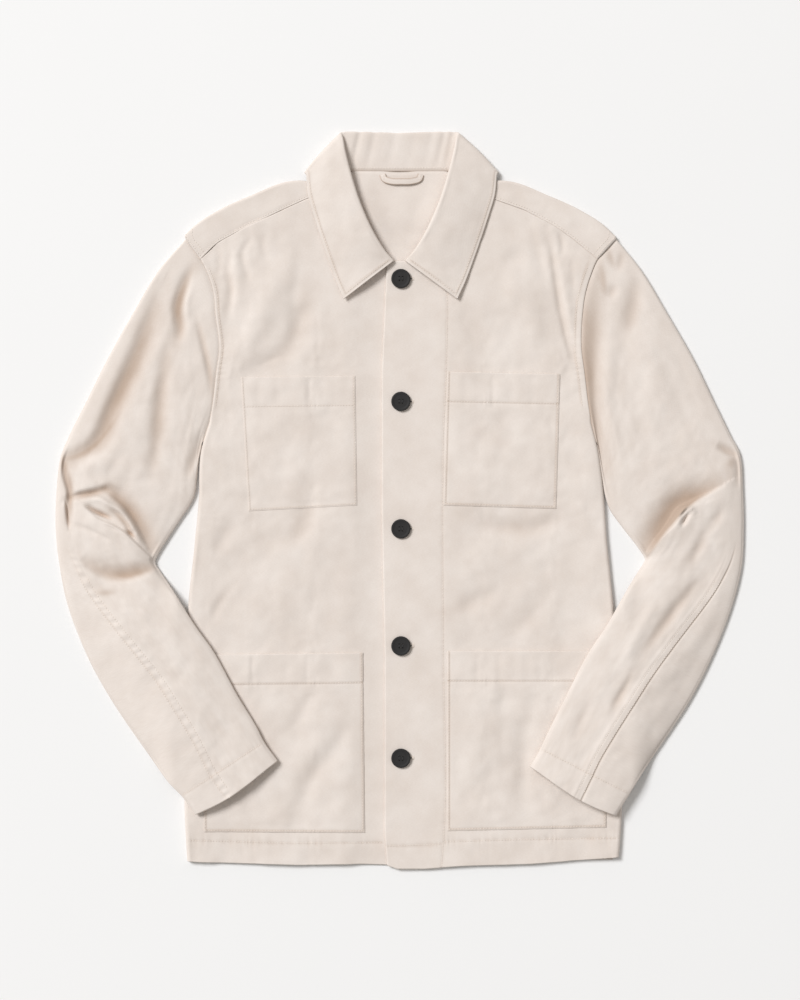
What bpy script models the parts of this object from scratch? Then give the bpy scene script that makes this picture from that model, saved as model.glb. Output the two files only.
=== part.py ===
"""Cotton twill overshirt, buttoned and laid flat on its back.

Millimetres in the tables, metres in the meshes. +X is the right of the picture, +Y runs to the collar,
+Z is up from the surface it lies on, and the origin is under the middle of the whole garment.
The wearer's left front lies on top, as on a man's shirt. Every cloth piece is a thin closed wall.
"""
import bpy
import numpy as np

MM = 0.001
CENTRE = (0.25, 0.85, 0.0)     # middle of the garment in the tables' frame, mm

# Driving dimensions, mm
CLOTH = 1.2            # wall of one layer of washed twill
COLLAR_CLOTH = 1.4     # the collar's two plies
GAP = 0.3              # between pieces that meet
FRONT_TOP = 5.8        # usual height of the upper face of the fronts
SIDE_TOP = 7.4         # height of the folded side edge
FACING = 2.4           # the over-front's edge, turned under and doubled
UNDER_TOP = 3.1        # the under-front where the over-front covers it
TUCK = 40.0            # strip of each front that is turned under the body
SHOULDER_TOP = 6.2     # shoulder strip, where the back comes over to the front
COLLAR_BED = 1.7       # the back lies this high on the collar's hidden fall
TUCK_BED = 1.5         # and this high on the tucked strips
SLEEVE_EDGE = 2.6      # radius of a sleeve's folded edges
SLEEVE_CLEAR = 1.4     # forearm above the pockets it lies on
CUFF_LAYER = 3.0       # the lower layer of a cuff shows this far beyond the upper one
POCKET_CLOTH = 1.2
BUTTON_RADIUS = 10.3
BUTTON_THICK = 3.4
BUTTON_HOLE_RADIUS = 0.9
BUTTON_HOLE_OFFSET = 1.5                  # of each hole from the button's middle, along x and along y
BUTTONS = (235, 105, -30, -154, -273)     # heights of the five buttons up the placket
BUTTON_X = 1.5

HEM = -383.0
FRONT_NECK = 247.0         # top of the placket, where the collar begins
BACK_MIDDLE = 112.0        # the back's rows are level as far as this height
ARMHOLE_TOP = 256.0        # armhole and shoulder seam meet
SHOULDER_CORNER = 279.0    # top of the sleeve
NECK_POINT = 90.0          # distance of the shoulder seam's inner end from the middle
SHOULDER_SEAM = 0.9        # room between the shoulder strip and a front, whose corners lie apart
TUCK_RAMP = (TUCK + 28, TUCK + 11)        # the back comes up onto the tucked strip between these
FOREARM_RAMP = (-36, -9)   # a forearm comes up onto the body between these distances outside its edge

# Side of the body, up from the hem: fold edge as far as the underarm, then the armhole seam.
# y, x on the left, x on the right
SIDE = np.array([
    (-388, -225, 232), (-328, -228, 236), (-210, -226, 231), (-110, -224, 227), (-42, -217, 220),
    (0, -213, 217), (50, -211, 211), (97, -199, 201), (137, -194, 196), (160, -191, 193),
    (198, -195, 194), (220, -197, 197), (240, -203, 203), (256, -211, 210), (279, -228, 230),
], float)

# Seam of shoulder strip and front, and the neck edge, outwards from the middle: x, y
LEFT_FRONT_HEAD = np.array([
    (-16, 247), (-8, 250), (3, 251), (14, 249), (36, 260), (54, 278), (68, 297), (81, 313), (90, 323),
    (102, 319), (133, 308), (165, 291), (186, 276), (210, 256),
], float)
RIGHT_FRONT_HEAD = np.array([
    (-27, 246), (-1, 243.5), (14, 245), (31, 259), (50, 277), (65, 295), (79, 311), (90, 323),
    (99, 320), (127, 307), (163, 290), (194, 273), (211, 256),
], float)
# Hem, outwards from the middle: x, y
LEFT_FRONT_HEM = np.array([
    (-14, -386), (-2, -390), (26, -390), (67, -387), (137, -385), (232, -378),
], float)
RIGHT_FRONT_HEM = np.array([
    (-32, -387), (15, -386), (42, -385), (105, -386), (211, -383), (225, -382),
], float)
# Back's top edge: neck, then the shoulder's folded edge. Distance from the middle, y
BACK_HEAD = np.array([
    (0, 348.4), (53, 348.4), (70, 343), (84, 337), (88, 337), (104, 339.5), (118, 338.5), (157, 324),
    (192, 308), (217, 292), (230, 279.5),
], float)

# Upright seams of a front. Heights, then the distance from the middle at each of them of the placket's
# edge, the pockets' inner side, and the outer side of the chest and hip pockets
LEFT_COLUMNS = {
    "y": (-390, -350, -160, -5, 135, 247),
    "edge": (-12, -15, -15, -18, -18, -13),
    "inner": (50, 51, 51, 47, 51, 53),
    "chest": (165, 165, 165, 166, 170, 168),
    "hip": (219, 219, 219, 198, 181, 189),
}
RIGHT_COLUMNS = {
    "y": (-390, -350, -162, -8, 131, 246),
    "edge": (-31, -31, -31, -30, -29, -27),
    "inner": (37, 37, 39, 45, 47, 50),
    "chest": (160, 160, 160, 160, 168, 163),
    "hip": (207, 207, 207, 196, 181, 187),
}
# Level seams: height at the pocket's inner side and at the side of the body
LEFT_ROWS = {
    "hem_stitch": (-364, -358), "hip_bottom": (-350, -346), "hip_band": (-190, -188),
    "hip_top": (-160, -160), "chest_bottom": (-5, -10), "chest_band": (103, 100), "chest_top": (136, 133),
}
RIGHT_ROWS = {
    "hem_stitch": (-363, -360), "hip_bottom": (-352, -351), "hip_band": (-188, -190),
    "hip_top": (-162, -164), "chest_bottom": (-5, -14), "chest_band": (101, 96), "chest_top": (132, 130),
}

# Largest folds: start, middle and end in the plan, height and half width. Troughs are negative.
FRONT_FOLDS = (
    # on the wearer's right front, image left
    ((-110, 262), (-143, 202), (-190, 110), 2.2, 16),
    ((-97, 235), (-112, 170), (-158, 138), -1.6, 12),
    ((-170, 275), (-180, 235), (-184, 195), -1.6, 11),
    ((-92, 50), (-97, -14), (-150, -40), -1.8, 13),
    ((-60, -225), (-92, -285), (-110, -345), -1.6, 12),
    ((-100, -190), (-110, -225), (-125, -250), -1.2, 11),
    # on the wearer's left front, image right
    ((152, 272), (172, 225), (188, 120), -2.0, 12),
    ((110, 255), (125, 235), (150, 160), 1.4, 14),
    ((70, -20), (110, -30), (170, -18), -1.8, 12),
    ((75, -115), (95, -100), (115, -88), -1.4, 12),
    ((148, -205), (134, -260), (132, -340), -1.8, 13),
    ((60, -75), (110, -60), (160, -70), 1.4, 20),
)
SLEEVE_FOLDS = (
    # image right: elbow crease, the ridge below it, and a long trough beside the armhole
    ((266, -46), (290, 0), (342, 21), -3.6, 8),
    ((263, -58), (300, -20), (356, 38), 3.2, 9),
    ((208, 215), (210, 120), (222, 30), -1.6, 11),
    ((250, 215), (262, 130), (268, 50), 1.6, 18),
    ((352, -75), (300, -150), (228, -255), 1.4, 14),
    # image left: two arcs round the elbow with a wedge between them
    ((-262, -52), (-300, -20), (-338, -6), 3.0, 9),
    ((-268, -36), (-300, 8), (-346, 4), -3.2, 9),
    ((-330, -64), (-300, -76), (-266, -72), -1.8, 10),
    ((-250, 240), (-300, 140), (-350, 48), -1.8, 12),
    ((-214, 200), (-206, 140), (-214, 60), -1.4, 10),
    ((-348, -90), (-300, -150), (-222, -250), 1.4, 14),
)

# Sleeve sections from armhole to cuff: outer edge x, y, inner edge x, y, fullness of the upper layer
LEFT_SLEEVE = np.array([
    (231, 279, 212.5, 57, 0.6), (259, 243, 214.0, 41, 1.8), (286, 197, 216.0, 22, 3.0),
    (312, 151, 218.5, 5, 3.4), (334, 105, 224, -11, 3.6), (351, 70, 236, -28, 3.8),
    (362, 47, 250, -46, 4.4), (364.5, 11, 259, -59, 5.0), (365.5, -29, 260, -64, 5.0),
    (363, -72, 254, -74, 4.2), (351, -118, 239, -97, 3.6), (331, -168, 219, -132, 3.2),
    (308, -213, 198, -164, 3.0), (280, -256, 178, -203, 2.8), (255, -292, 158, -243, 2.4),
    (241, -314, 147, -266, 2.0), (229, -333, 138, -281, 1.6),
], float)
RIGHT_SLEEVE = np.array([
    (-229, 278, -212.5, 57, 0.6), (-258, 243, -214.8, 41, 1.8), (-285, 197, -216.0, 22, 3.0),
    (-310, 151, -217.5, 7, 3.4), (-333, 104, -223, -6, 3.6), (-350, 70, -235, -24, 3.8),
    (-360, 45, -248, -44, 4.4), (-364, 11, -257, -59, 5.0), (-365, -29, -259, -66, 5.0),
    (-361, -68, -254, -75, 4.2), (-351, -115, -237, -99, 3.6), (-330, -168, -216, -132, 3.2),
    (-305, -213, -195, -162, 3.0), (-276, -256, -173, -203, 2.8), (-248, -294, -153, -236, 2.4),
    (-229, -314, -142, -257, 2.0), (-216, -332, -129, -275, 1.6),
], float)
ARMHOLE_SEAM = 0.9     # room between a sleeve and the curved armhole
ARMHOLE_RINGS = 5.0    # the armhole's bow fades out by this section
FOREARM_RING = 8.0     # from this section on the sleeve comes back over the body

# Collar, from the front edge round to the centre of the back, on the right half.
# neck seam x, y, z; fold x, y, z; outer edge x, y, z; turn of the fall (0 over, 180 under); radius of fold
COLLAR = np.array([
    (10.0, 253.5, 5.7, 6.5, 254, 8.6, 61, 214, 10.4, 0, 1.3),
    (25.5, 257.5, 5.4, 17, 266, 11.0, 70, 234, 8.0, 0, 1.8),
    (46.0, 276.5, 5.3, 30, 288, 13.0, 80, 261, 7.7, 0, 2.1),
    (66.0, 300.0, 5.4, 43, 318, 13.6, 91, 293, 7.7, 0, 2.1),
    (83.0, 319.0, 5.4, 52.5, 349, 12.2, 100, 322, 7.8, 0, 2.0),
    (84.5, 333.0, 4.8, 58, 371, 10.2, 102, 338, 7.8, 0, 1.9),
    (75.0, 344.5, 3.3, 60.5, 385, 7.0, 102.5, 345.5, 7.4, 0, 1.8),
    (73.0, 344.5, 2.6, 61.5, 388, 5.4, 104.5, 347.5, 5.4, 60, 1.7),
    (70.0, 346.0, 2.5, 60.5, 390, 3.4, 104.0, 347.5, 2.6, 120, 1.6),
    (64.0, 348.5, 2.4, 57, 390.8, 2.2, 99, 341, 0.7, 180, 1.5),
    (53.0, 349.6, 2.4, 48, 391, 2.2, 84, 329, 0.7, 180, 1.5),
    (30.0, 349.6, 2.4, 30, 390.6, 2.2, 52, 317, 0.7, 180, 1.5),
    (0.0, 349.6, 2.4, 0, 389.5, 2.2, 0, 312, 0.7, 180, 1.5),
], float)
COLLAR_RIGHT_REACH = 0.96    # the image-left leaf reaches a little less far out than the other

# Hanger loop inside the back of the neck: x, y along the tape
LOOP_PATH = (
    (-18, 345.5), (-16.5, 341.5), (-10, 338.8), (2, 338.2), (14, 338.8), (21, 341.5), (22.5, 345.5),
)
LOOP_WIDTH = 6.0
LOOP_CLOTH = 1.0

TWILL = ("twill", (0.74, 0.66, 0.59, 1.0), 0.9)
HORN = ("button_resin", (0.02, 0.02, 0.022, 1.0), 0.35)


def ease(value, start, end):
    """0 at start, 1 at end, soft at both."""
    t = np.clip((value - start) / (end - start), 0.0, 1.0)
    return t * t * (3.0 - 2.0 * t)


def swell(share, power):
    """0 at both ends, 1 in the middle."""
    return np.clip(np.sin(np.pi * share), 0.0, 1.0) ** power


def flow(at, stations, values):
    """Smooth curve through the values at the stations."""
    stations, values = np.asarray(stations, float), np.asarray(values, float)
    at = np.clip(at, stations[0], stations[-1])
    k = np.clip(np.searchsorted(stations, at, side="right") - 1, 0, len(stations) - 2)
    slopes = np.gradient(values, stations)
    span = stations[k + 1] - stations[k]
    t = (at - stations[k]) / span
    start, end = values[k], values[k + 1]
    rise = end - start
    lead, trail = slopes[k] * span, slopes[k + 1] * span
    return start + t * (lead + t * (3 * rise - 2 * lead - trail + t * (lead + trail - 2 * rise)))


def side(y, hand):
    """Distance of the body's edge from the middle, on the left (hand -1) or the right (hand 1)."""
    return hand * flow(y, SIDE[:, 0], SIDE[:, 1 if hand < 0 else 2])


def fold_relief(folds, x, y):
    """Sum of the soft ridges and troughs at the points."""
    relief = np.zeros(np.shape(x))
    for start, middle, end, height, width in folds:
        best, place = np.full(np.shape(x), 1e9), np.zeros(np.shape(x))
        for k, (a, b) in enumerate(((start, middle), (middle, end))):
            dx, dy = b[0] - a[0], b[1] - a[1]
            t = np.clip(((x - a[0]) * dx + (y - a[1]) * dy) / (dx * dx + dy * dy), 0, 1)
            off = np.hypot(x - a[0] - t * dx, y - a[1] - t * dy)
            place = np.where(off < best, (k + t) / 2, place)
            best = np.minimum(off, best)
        relief += height * np.exp(-(best / width) ** 2) * swell(np.clip(place, 0.04, 0.96), 0.7)
    return relief


def calm(x, y):
    """1 where folds may rise, 0 at the placket and under the collar."""
    placket = ease(x, -36, -58) + ease(x, 54, 74)
    collar = 1 - ease(y, 196, 214) * ease(np.abs(x), 118, 104)
    return placket * collar


def front_height(x, y, hand):
    """Upper face of a front."""
    off_edge = side(y, hand) - hand * x
    fold_side = ease(y, 100, 50)
    height = FRONT_TOP + (SIDE_TOP - FRONT_TOP) * ease(off_edge, 45, 8) * fold_side
    height = height + fold_relief(FRONT_FOLDS, x, y) * calm(x, y) * ease(off_edge, 3, 16)
    if hand < 0:
        height = height + (UNDER_TOP - height) * ease(x, -62, -24)
    return height


def back_height(x, y):
    """Underside of the back: flat on the surface, over the tucked strips and over the collar's fall."""
    hand = np.where(x < 0, -1, 1)
    off_edge = np.where(hand < 0, side(y, -1), side(y, 1)) - np.abs(x)
    tuck = TUCK_BED * ease(off_edge, *TUCK_RAMP) * ease(y, 100, 70)
    collar = COLLAR_BED * ease(y, 280, 300) * ease(np.abs(x), 130, 108)
    return np.maximum(tuck, collar)


def body_height(x, y, hand):
    """What a forearm lies on: the front with its pocket, falling to the surface outside the body."""
    off_edge = side(y, hand) - hand * x
    inside = np.maximum(front_height(x, y, hand), FRONT_TOP) + GAP + POCKET_CLOTH + SLEEVE_CLEAR
    return inside * ease(off_edge, *FOREARM_RAMP)


def finish(name, points, faces, look):
    """A named object from points in millimetres."""
    mesh = bpy.data.meshes.new(name)
    mesh.from_pydata(((np.asarray(points) - CENTRE) * MM).tolist(), [], faces)
    mesh.shade_smooth()
    mesh.set_sharp_from_angle(angle=0.9)
    material = bpy.data.materials.get(look[0]) or bpy.data.materials.new(look[0])
    material.use_nodes = True
    shader = material.node_tree.nodes["Principled BSDF"]
    shader.inputs["Base Color"].default_value = look[1]
    shader.inputs["Roughness"].default_value = look[2]
    shader.inputs["Metallic"].default_value = 0.0
    mesh.materials.append(material)
    thing = bpy.data.objects.new(name, mesh)
    bpy.context.scene.collection.objects.link(thing)
    return thing


def wall(name, outer, inner, keep=None, ring=False, look=TWILL):
    """A closed wall between two grids of points. keep masks the cells, ring joins the first axis."""
    rows, cols = outer.shape[:2]
    count = rows * cols
    points = np.concatenate([outer.reshape(-1, 3), inner.reshape(-1, 3)])
    if keep is None:
        keep = np.ones((rows if ring else rows - 1, cols - 1), bool)

    def corner(i, j):
        """Number of a grid point. The first axis may run on round the ring."""
        return (i % rows) * cols + j

    faces = []
    for i, j in zip(*np.nonzero(keep)):
        a, b, c, d = corner(i, j), corner(i + 1, j), corner(i + 1, j + 1), corner(i, j + 1)
        faces += [(a, b, c), (a, c, d)]
        faces += [(a + count, c + count, b + count), (a + count, d + count, c + count)]
        beside = (
            (j == 0 or not keep[i, j - 1], a, b),
            (j == cols - 2 or not keep[i, j + 1], c, d),
            (not ring and (i == 0 or not keep[i - 1, j]), d, a),
            (not ring and (i == rows - 2 or not keep[i + 1, j]), b, c),
        )
        for is_rim, p, q in beside:
            if is_rim:
                faces += [(q, p, p + count), (q, p + count, q + count)]
    used = np.unique(np.array(faces))
    place = np.full(len(points), -1)
    place[used] = np.arange(len(used))
    return finish(name, points[used], place[np.array(faces)].tolist(), look)


def spread(spans):
    """Stations 0, 1, 2... with so many steps in each span."""
    parts = [k + np.arange(n) / n for k, n in enumerate(spans)]
    return np.concatenate(parts + [[len(spans)]])


FRONT_ACROSS = (3, 2, 5, 3, 1)          # edge, inner, neck point, chest, hip, side
FRONT_UP = (1, 1, 8, 1, 7, 6, 1)        # hem, hem stitch, hip bottom, hip band, hip top, chest ...
FRONT_HEAD_ROWS = 8
FOLD_STEPS = 4
TUCK_STEPS = 2
FOLD_RADIUS = SIDE_TOP / 2


def front_plan(hand):
    """Points of a front seen from above: rows up the garment, columns outwards."""
    columns, rows, head, hem = (
        (RIGHT_COLUMNS, RIGHT_ROWS, RIGHT_FRONT_HEAD, RIGHT_FRONT_HEM) if hand < 0
        else (LEFT_COLUMNS, LEFT_ROWS, LEFT_FRONT_HEAD, LEFT_FRONT_HEM))
    neck_x = head[np.argmax(head[:, 1]), 0]
    across = spread(FRONT_ACROSS)

    def column(at, y):
        """Distance from the middle of the columns, at heights y."""
        named = [np.interp(y, columns["y"], columns[key]) for key in ("edge", "inner", "chest", "hip")]
        named.insert(2, np.full(np.shape(y), neck_x))
        named.append(side(y, hand) - side_inset(y))
        stack = np.array(named)
        low = np.minimum(at.astype(int), len(named) - 2)
        part = at - low
        here = np.arange(len(at))
        return stack[low, here] * (1 - part) + stack[low + 1, here] * part

    inner_y = np.array([HEM] + [pair[0] for pair in rows.values()], float)
    outer_y = np.array([HEM] + [pair[1] for pair in rows.values()], float)
    levels = spread(FRONT_UP)
    plan = []
    for level in levels:
        y0 = np.interp(level, range(len(inner_y)), inner_y)
        y1 = np.interp(level, range(len(outer_y)), outer_y)
        y = np.full(len(across), y0)
        for _ in range(3):
            x = column(across, y)
            y = y0 + (y1 - y0) * np.clip((x - x[FRONT_ACROSS[0]]) / (x[-1] - x[FRONT_ACROSS[0]]), 0, 1)
            if level < 1:
                y = y * level + np.interp(x, hem[:, 0], hem[:, 1]) * (1 - level)
        plan.append(np.stack([x, y], -1))
    foot = plan[-1]
    top_x = column(across, np.full(len(across), FRONT_NECK))
    top_x[-1] = side(ARMHOLE_TOP, hand)
    top_x[-2] = (top_x[-1] + top_x[-3]) / 2
    top = np.stack([top_x, np.interp(top_x, head[:, 0], head[:, 1])], -1)
    weight = ((foot[:, 0] - foot[0, 0]) / (foot[-1, 0] - foot[0, 0]))[:, None]
    for part in np.arange(1, FRONT_HEAD_ROWS + 1) / FRONT_HEAD_ROWS:
        row = foot * (1 - part) + top * part
        edge_y, side_y = row[0, 1], row[-1, 1]
        edge_x = np.interp(edge_y, columns["y"], columns["edge"])
        side_x = side(side_y, hand) - side_inset(side_y)
        bend = (1 - weight) * (edge_x - row[0, 0]) + weight * (side_x - row[-1, 0])
        row = row + np.concatenate([bend, np.zeros_like(bend)], -1)
        plan.append(row)
    return np.array(plan)


def fold_turn(y):
    """How far the side edge is turned under, in radians: a little at the armhole, right under below it."""
    return np.pi * (0.1 + 0.9 * ease(y, 96, 58))


def tuck_length(y):
    """Width of the strip turned under."""
    return 0.6 + (TUCK - 0.6) * ease(y, 50, -20)


def side_inset(y):
    """How far inside the edge the turn begins."""
    turn = fold_turn(y)
    return FOLD_RADIUS * np.sin(np.minimum(turn, np.pi / 2)) + tuck_length(y) * np.maximum(np.cos(turn), 0)


def front(name, hand):
    """A front panel, with its side edge turned under the body."""
    plan = front_plan(hand)
    x, y = plan[..., 0] * hand, plan[..., 1]
    top = front_height(x, y, hand)
    thick = np.full(x.shape, CLOTH)
    if hand > 0:
        thick[:, :FRONT_ACROSS[0] + 1] = FACING
    outer = np.stack([x, y, top], -1)
    inner = outer - np.stack([0 * x, 0 * x, thick], -1)
    turn = fold_turn(y[:, -1])
    down = top[:, -1] / 2
    for step in range(1, FOLD_STEPS + 1):
        angle = turn * step / FOLD_STEPS
        for grid_name, radius in (("outer", down), ("inner", down - CLOTH)):
            column = np.stack([x[:, -1] + hand * radius * np.sin(angle), y[:, -1],
                               top[:, -1] - down + radius * np.cos(angle)], -1)[:, None]
            if grid_name == "outer":
                outer = np.concatenate([outer, column], 1)
            else:
                inner = np.concatenate([inner, column], 1)
    length = tuck_length(y[:, -1])
    for step in range(1, TUCK_STEPS + 1):
        move = length * step / TUCK_STEPS
        shift = np.stack([hand * move * np.cos(turn), 0 * move, -move * np.sin(turn)], -1)
        outer = np.concatenate([outer, (outer[:, x.shape[1] + FOLD_STEPS - 1] + shift)[:, None]], 1)
        inner = np.concatenate([inner, (inner[:, x.shape[1] + FOLD_STEPS - 1] + shift)[:, None]], 1)
    outer[..., 2] = np.maximum(outer[..., 2], 0)
    if hand > 0:
        outer, inner = outer[::-1], inner[::-1]
    wall(name, outer, inner)
    return plan, top


def pocket(name, plan, top, hand, rows, last_column):
    """A patch pocket from the front's own points, moved out."""
    first = FRONT_ACROSS[0]
    part = plan[rows[0]:rows[1] + 1, first:last_column + 1]
    height = top[rows[0]:rows[1] + 1, first:last_column + 1] + GAP
    x, y = part[..., 0] * hand, part[..., 1]
    mouth = np.zeros_like(x)
    mouth[-1] = 0.6
    lower = np.stack([x, y, height + mouth / 2], -1)
    upper = np.stack([x, y, height + POCKET_CLOTH + mouth], -1)
    if hand > 0:
        lower, upper = lower[::-1], upper[::-1]
    wall(name, upper, lower)


BACK_ACROSS = (2, 1, 3, 3, 3, 3, 1, 2)      # side, over the tuck, beside it, neck point, middle, and back
BACK_UP = (11, 9)               # hem to underarm, underarm to head
SHOULDER_FOLD_STEPS = 3


def back(name):
    """The back, which comes over the shoulders as a strip to the fronts."""
    across = spread(BACK_ACROSS) - len(BACK_ACROSS) / 2
    hand = np.where(across < 0, -1, 1)
    share = np.abs(across)

    def columns(outermost):
        """Distances from the middle, for each column, where the edge is outermost."""
        named = np.stack([0 * outermost, 0 * outermost + NECK_POINT, outermost - TUCK - 26,
                          outermost - TUCK - 4, outermost])
        low = np.minimum(share.astype(int), 3)
        here = np.arange(len(share))
        return named[low, here] + (named[low + 1, here] - named[low, here]) * (share - low)

    def edge(y):
        """Edge of the back on each side, just inside the fold and at the armhole."""
        inset = 0.2 + 6.0 * ease(y, BACK_MIDDLE, BACK_MIDDLE - 28)
        return np.where(hand < 0, side(y, -1), side(y, 1)) - inset

    plan = []
    for part in np.arange(BACK_UP[0] + 1) / BACK_UP[0]:
        y = (HEM + 2) * (1 - part) + BACK_MIDDLE * part
        level = np.full(len(share), y)
        plan.append(np.stack([columns(edge(level)), level], -1))
    foot = plan[-1]
    corner = np.where(hand < 0, side(SHOULDER_CORNER, -1), side(SHOULDER_CORNER, 1)) - 2.0
    head_x = columns(corner)
    edge_y = np.interp(head_x, BACK_HEAD[:, 0], BACK_HEAD[:, 1])
    bed = back_height(head_x * hand, edge_y)
    radius = (SHOULDER_TOP - bed) / 2
    is_shoulder = share >= 1
    head = np.stack([head_x, edge_y - np.where(is_shoulder, radius, 0)], -1)
    outermost = len(BACK_ACROSS) / 2
    weight = np.clip((share - 1) / (outermost - 1), 0, 1)
    for part in np.arange(1, BACK_UP[1] + 1) / BACK_UP[1]:
        line = foot * (1 - part) + head * part
        bend = (edge(line[:, 1]) - line[:, 0]) * (share == outermost)
        reach = np.where(hand < 0, bend[0], bend[-1])
        line[:, 0] += reach * weight
        plan.append(line)
    plan = np.array(plan)
    x, y = plan[..., 0] * hand, plan[..., 1]
    x[-1] = head_x * hand
    z = back_height(x, y)
    outer = np.stack([x, y, z], -1)
    inner = outer + (0, 0, CLOTH)
    z_head, y_head = z[-1], y[-1]
    radius = (SHOULDER_TOP - z_head) / 2
    panel_rows = len(outer)
    for step in range(1, SHOULDER_FOLD_STEPS + 1):
        angle = np.pi * step / SHOULDER_FOLD_STEPS
        turned = [
            np.stack([x[-1], y_head + r * np.sin(angle), z_head + radius - r * np.cos(angle)], -1)[None]
            for r in (radius, radius - CLOTH)]
        outer = np.concatenate([outer, turned[0]])
        inner = np.concatenate([inner, turned[1]])
    seam_side = np.where(hand < 0, side(ARMHOLE_TOP, -1), side(ARMHOLE_TOP, 1)) - 0.4
    seam_x = NECK_POINT + (head_x - NECK_POINT) * (seam_side - NECK_POINT) / (corner - NECK_POINT)
    seam_x = np.where(is_shoulder, seam_x, head_x)
    seam_y = np.where(hand < 0, np.interp(seam_x, RIGHT_FRONT_HEAD[:, 0], RIGHT_FRONT_HEAD[:, 1]),
                      np.interp(seam_x, LEFT_FRONT_HEAD[:, 0], LEFT_FRONT_HEAD[:, 1])) + SHOULDER_SEAM
    strip_end = np.stack([seam_x * hand, seam_y, np.full(len(hand), FRONT_TOP)], -1)
    outer = np.concatenate([outer, strip_end[None]])
    inner = np.concatenate([inner, (strip_end - (0, 0, CLOTH))[None]])
    keep = np.ones((outer.shape[0] - 1, outer.shape[1] - 1), bool)
    middle = (share[:-1] < 1 - 1e-6) | (share[1:] < 1 - 1e-6)
    keep[panel_rows - 1:, middle] = False
    wall(name, outer, inner, keep)


SLEEVE_TOP_POINTS = 9           # across the upper and the lower layer, and round a folded edge
SLEEVE_LOW_POINTS = 8
SLEEVE_EDGE_STEPS = 3


def sleeve(name, table, hand):
    """A sleeve: a flattened tube that bends at the elbow and lies back over the body."""
    stations = np.arange(len(table))
    outer_loops, inner_loops = [], []
    chord_y = np.array([table[0, 1], table[0, 3]])
    for ring in stations.astype(float):
        ox, oy, ix, iy, full = (float(flow(ring, stations, table[:, k])) for k in range(5))
        width = np.hypot(ix - ox, iy - oy)
        along = np.array([(ix - ox) / width, (iy - oy) / width])
        bow_fade = max(0.0, 1 - ring / ARMHOLE_RINGS) ** 2

        def place(distance):
            """Plan point at a distance from the outer edge."""
            share = distance / width
            x, y = ox + along[0] * distance, oy + along[1] * distance
            arm_y = chord_y[0] + (chord_y[1] - chord_y[0]) * share
            chord_x = table[0, 0] + (table[0, 2] - table[0, 0]) * share
            arm_x = hand * (side(arm_y, hand) + ARMHOLE_SEAM)
            return x + (arm_x - chord_x) * bow_fade, y

        def bed(x, y):
            """Surface the lower layer lies on."""
            return body_height(x, y, hand) * ease(ring, FOREARM_RING - 0.5, FOREARM_RING + 1.5)

        edge = SLEEVE_EDGE
        top_at = np.linspace(edge, width - edge, SLEEVE_TOP_POINTS)
        low_at = np.linspace(width - edge, edge, SLEEVE_LOW_POINTS)
        loop, lining = [], []
        x, y = place(top_at)
        share = (top_at - edge) / (width - 2 * edge)
        base = bed(x, y)
        rise = full * swell(share, 0.6)
        relief = fold_relief(SLEEVE_FOLDS, x, y) * swell(share, 0.5)
        cloth_top = base + 2 * edge + np.maximum(rise + relief * ease(ring, 0, 2), -1.4)
        loop += list(zip(x, y, cloth_top))
        lining += list(zip(x, y, cloth_top - CLOTH))
        x1, y1 = place(width - edge)
        base1 = float(bed(x1, y1))
        for angle in np.pi * np.arange(1, SLEEVE_EDGE_STEPS + 1) / (SLEEVE_EDGE_STEPS + 1):
            for into, radius in ((loop, edge), (lining, edge - CLOTH)):
                into.append((x1 + along[0] * radius * np.sin(angle), y1 + along[1] * radius * np.sin(angle),
                             base1 + edge + radius * np.cos(angle)))
        x, y = place(low_at)
        low_shift = CUFF_LAYER * ease(ring, len(table) - 2.2, len(table) - 1)
        x, y = x + along[1] * low_shift * hand, y - along[0] * low_shift * hand
        base = bed(x, y)
        loop += list(zip(x, y, base))
        lining += list(zip(x, y, base + CLOTH))
        x0, y0 = place(edge)
        base0 = float(bed(x0, y0))
        for angle in np.pi * np.arange(1, SLEEVE_EDGE_STEPS + 1) / (SLEEVE_EDGE_STEPS + 1):
            for into, radius in ((loop, edge), (lining, edge - CLOTH)):
                into.append((x0 - along[0] * radius * np.sin(angle), y0 - along[1] * radius * np.sin(angle),
                             base0 + edge - radius * np.cos(angle)))
        outer_loops.append(loop)
        inner_loops.append(lining)
    outer = np.array(outer_loops).transpose(1, 0, 2)
    inner = np.array(inner_loops).transpose(1, 0, 2)
    if hand < 0:
        outer, inner = outer[::-1], inner[::-1]
    wall(name, outer, inner, ring=True)


STAND_STEPS = 2                 # steps up the stand, round the fold and down the fall
ROLL_STEPS = 4
FALL_STEPS = 3
COLLAR_OUTWARD = (0.73, 0.68)   # way the fall turns over behind the neck: outwards, and towards the back


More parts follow.
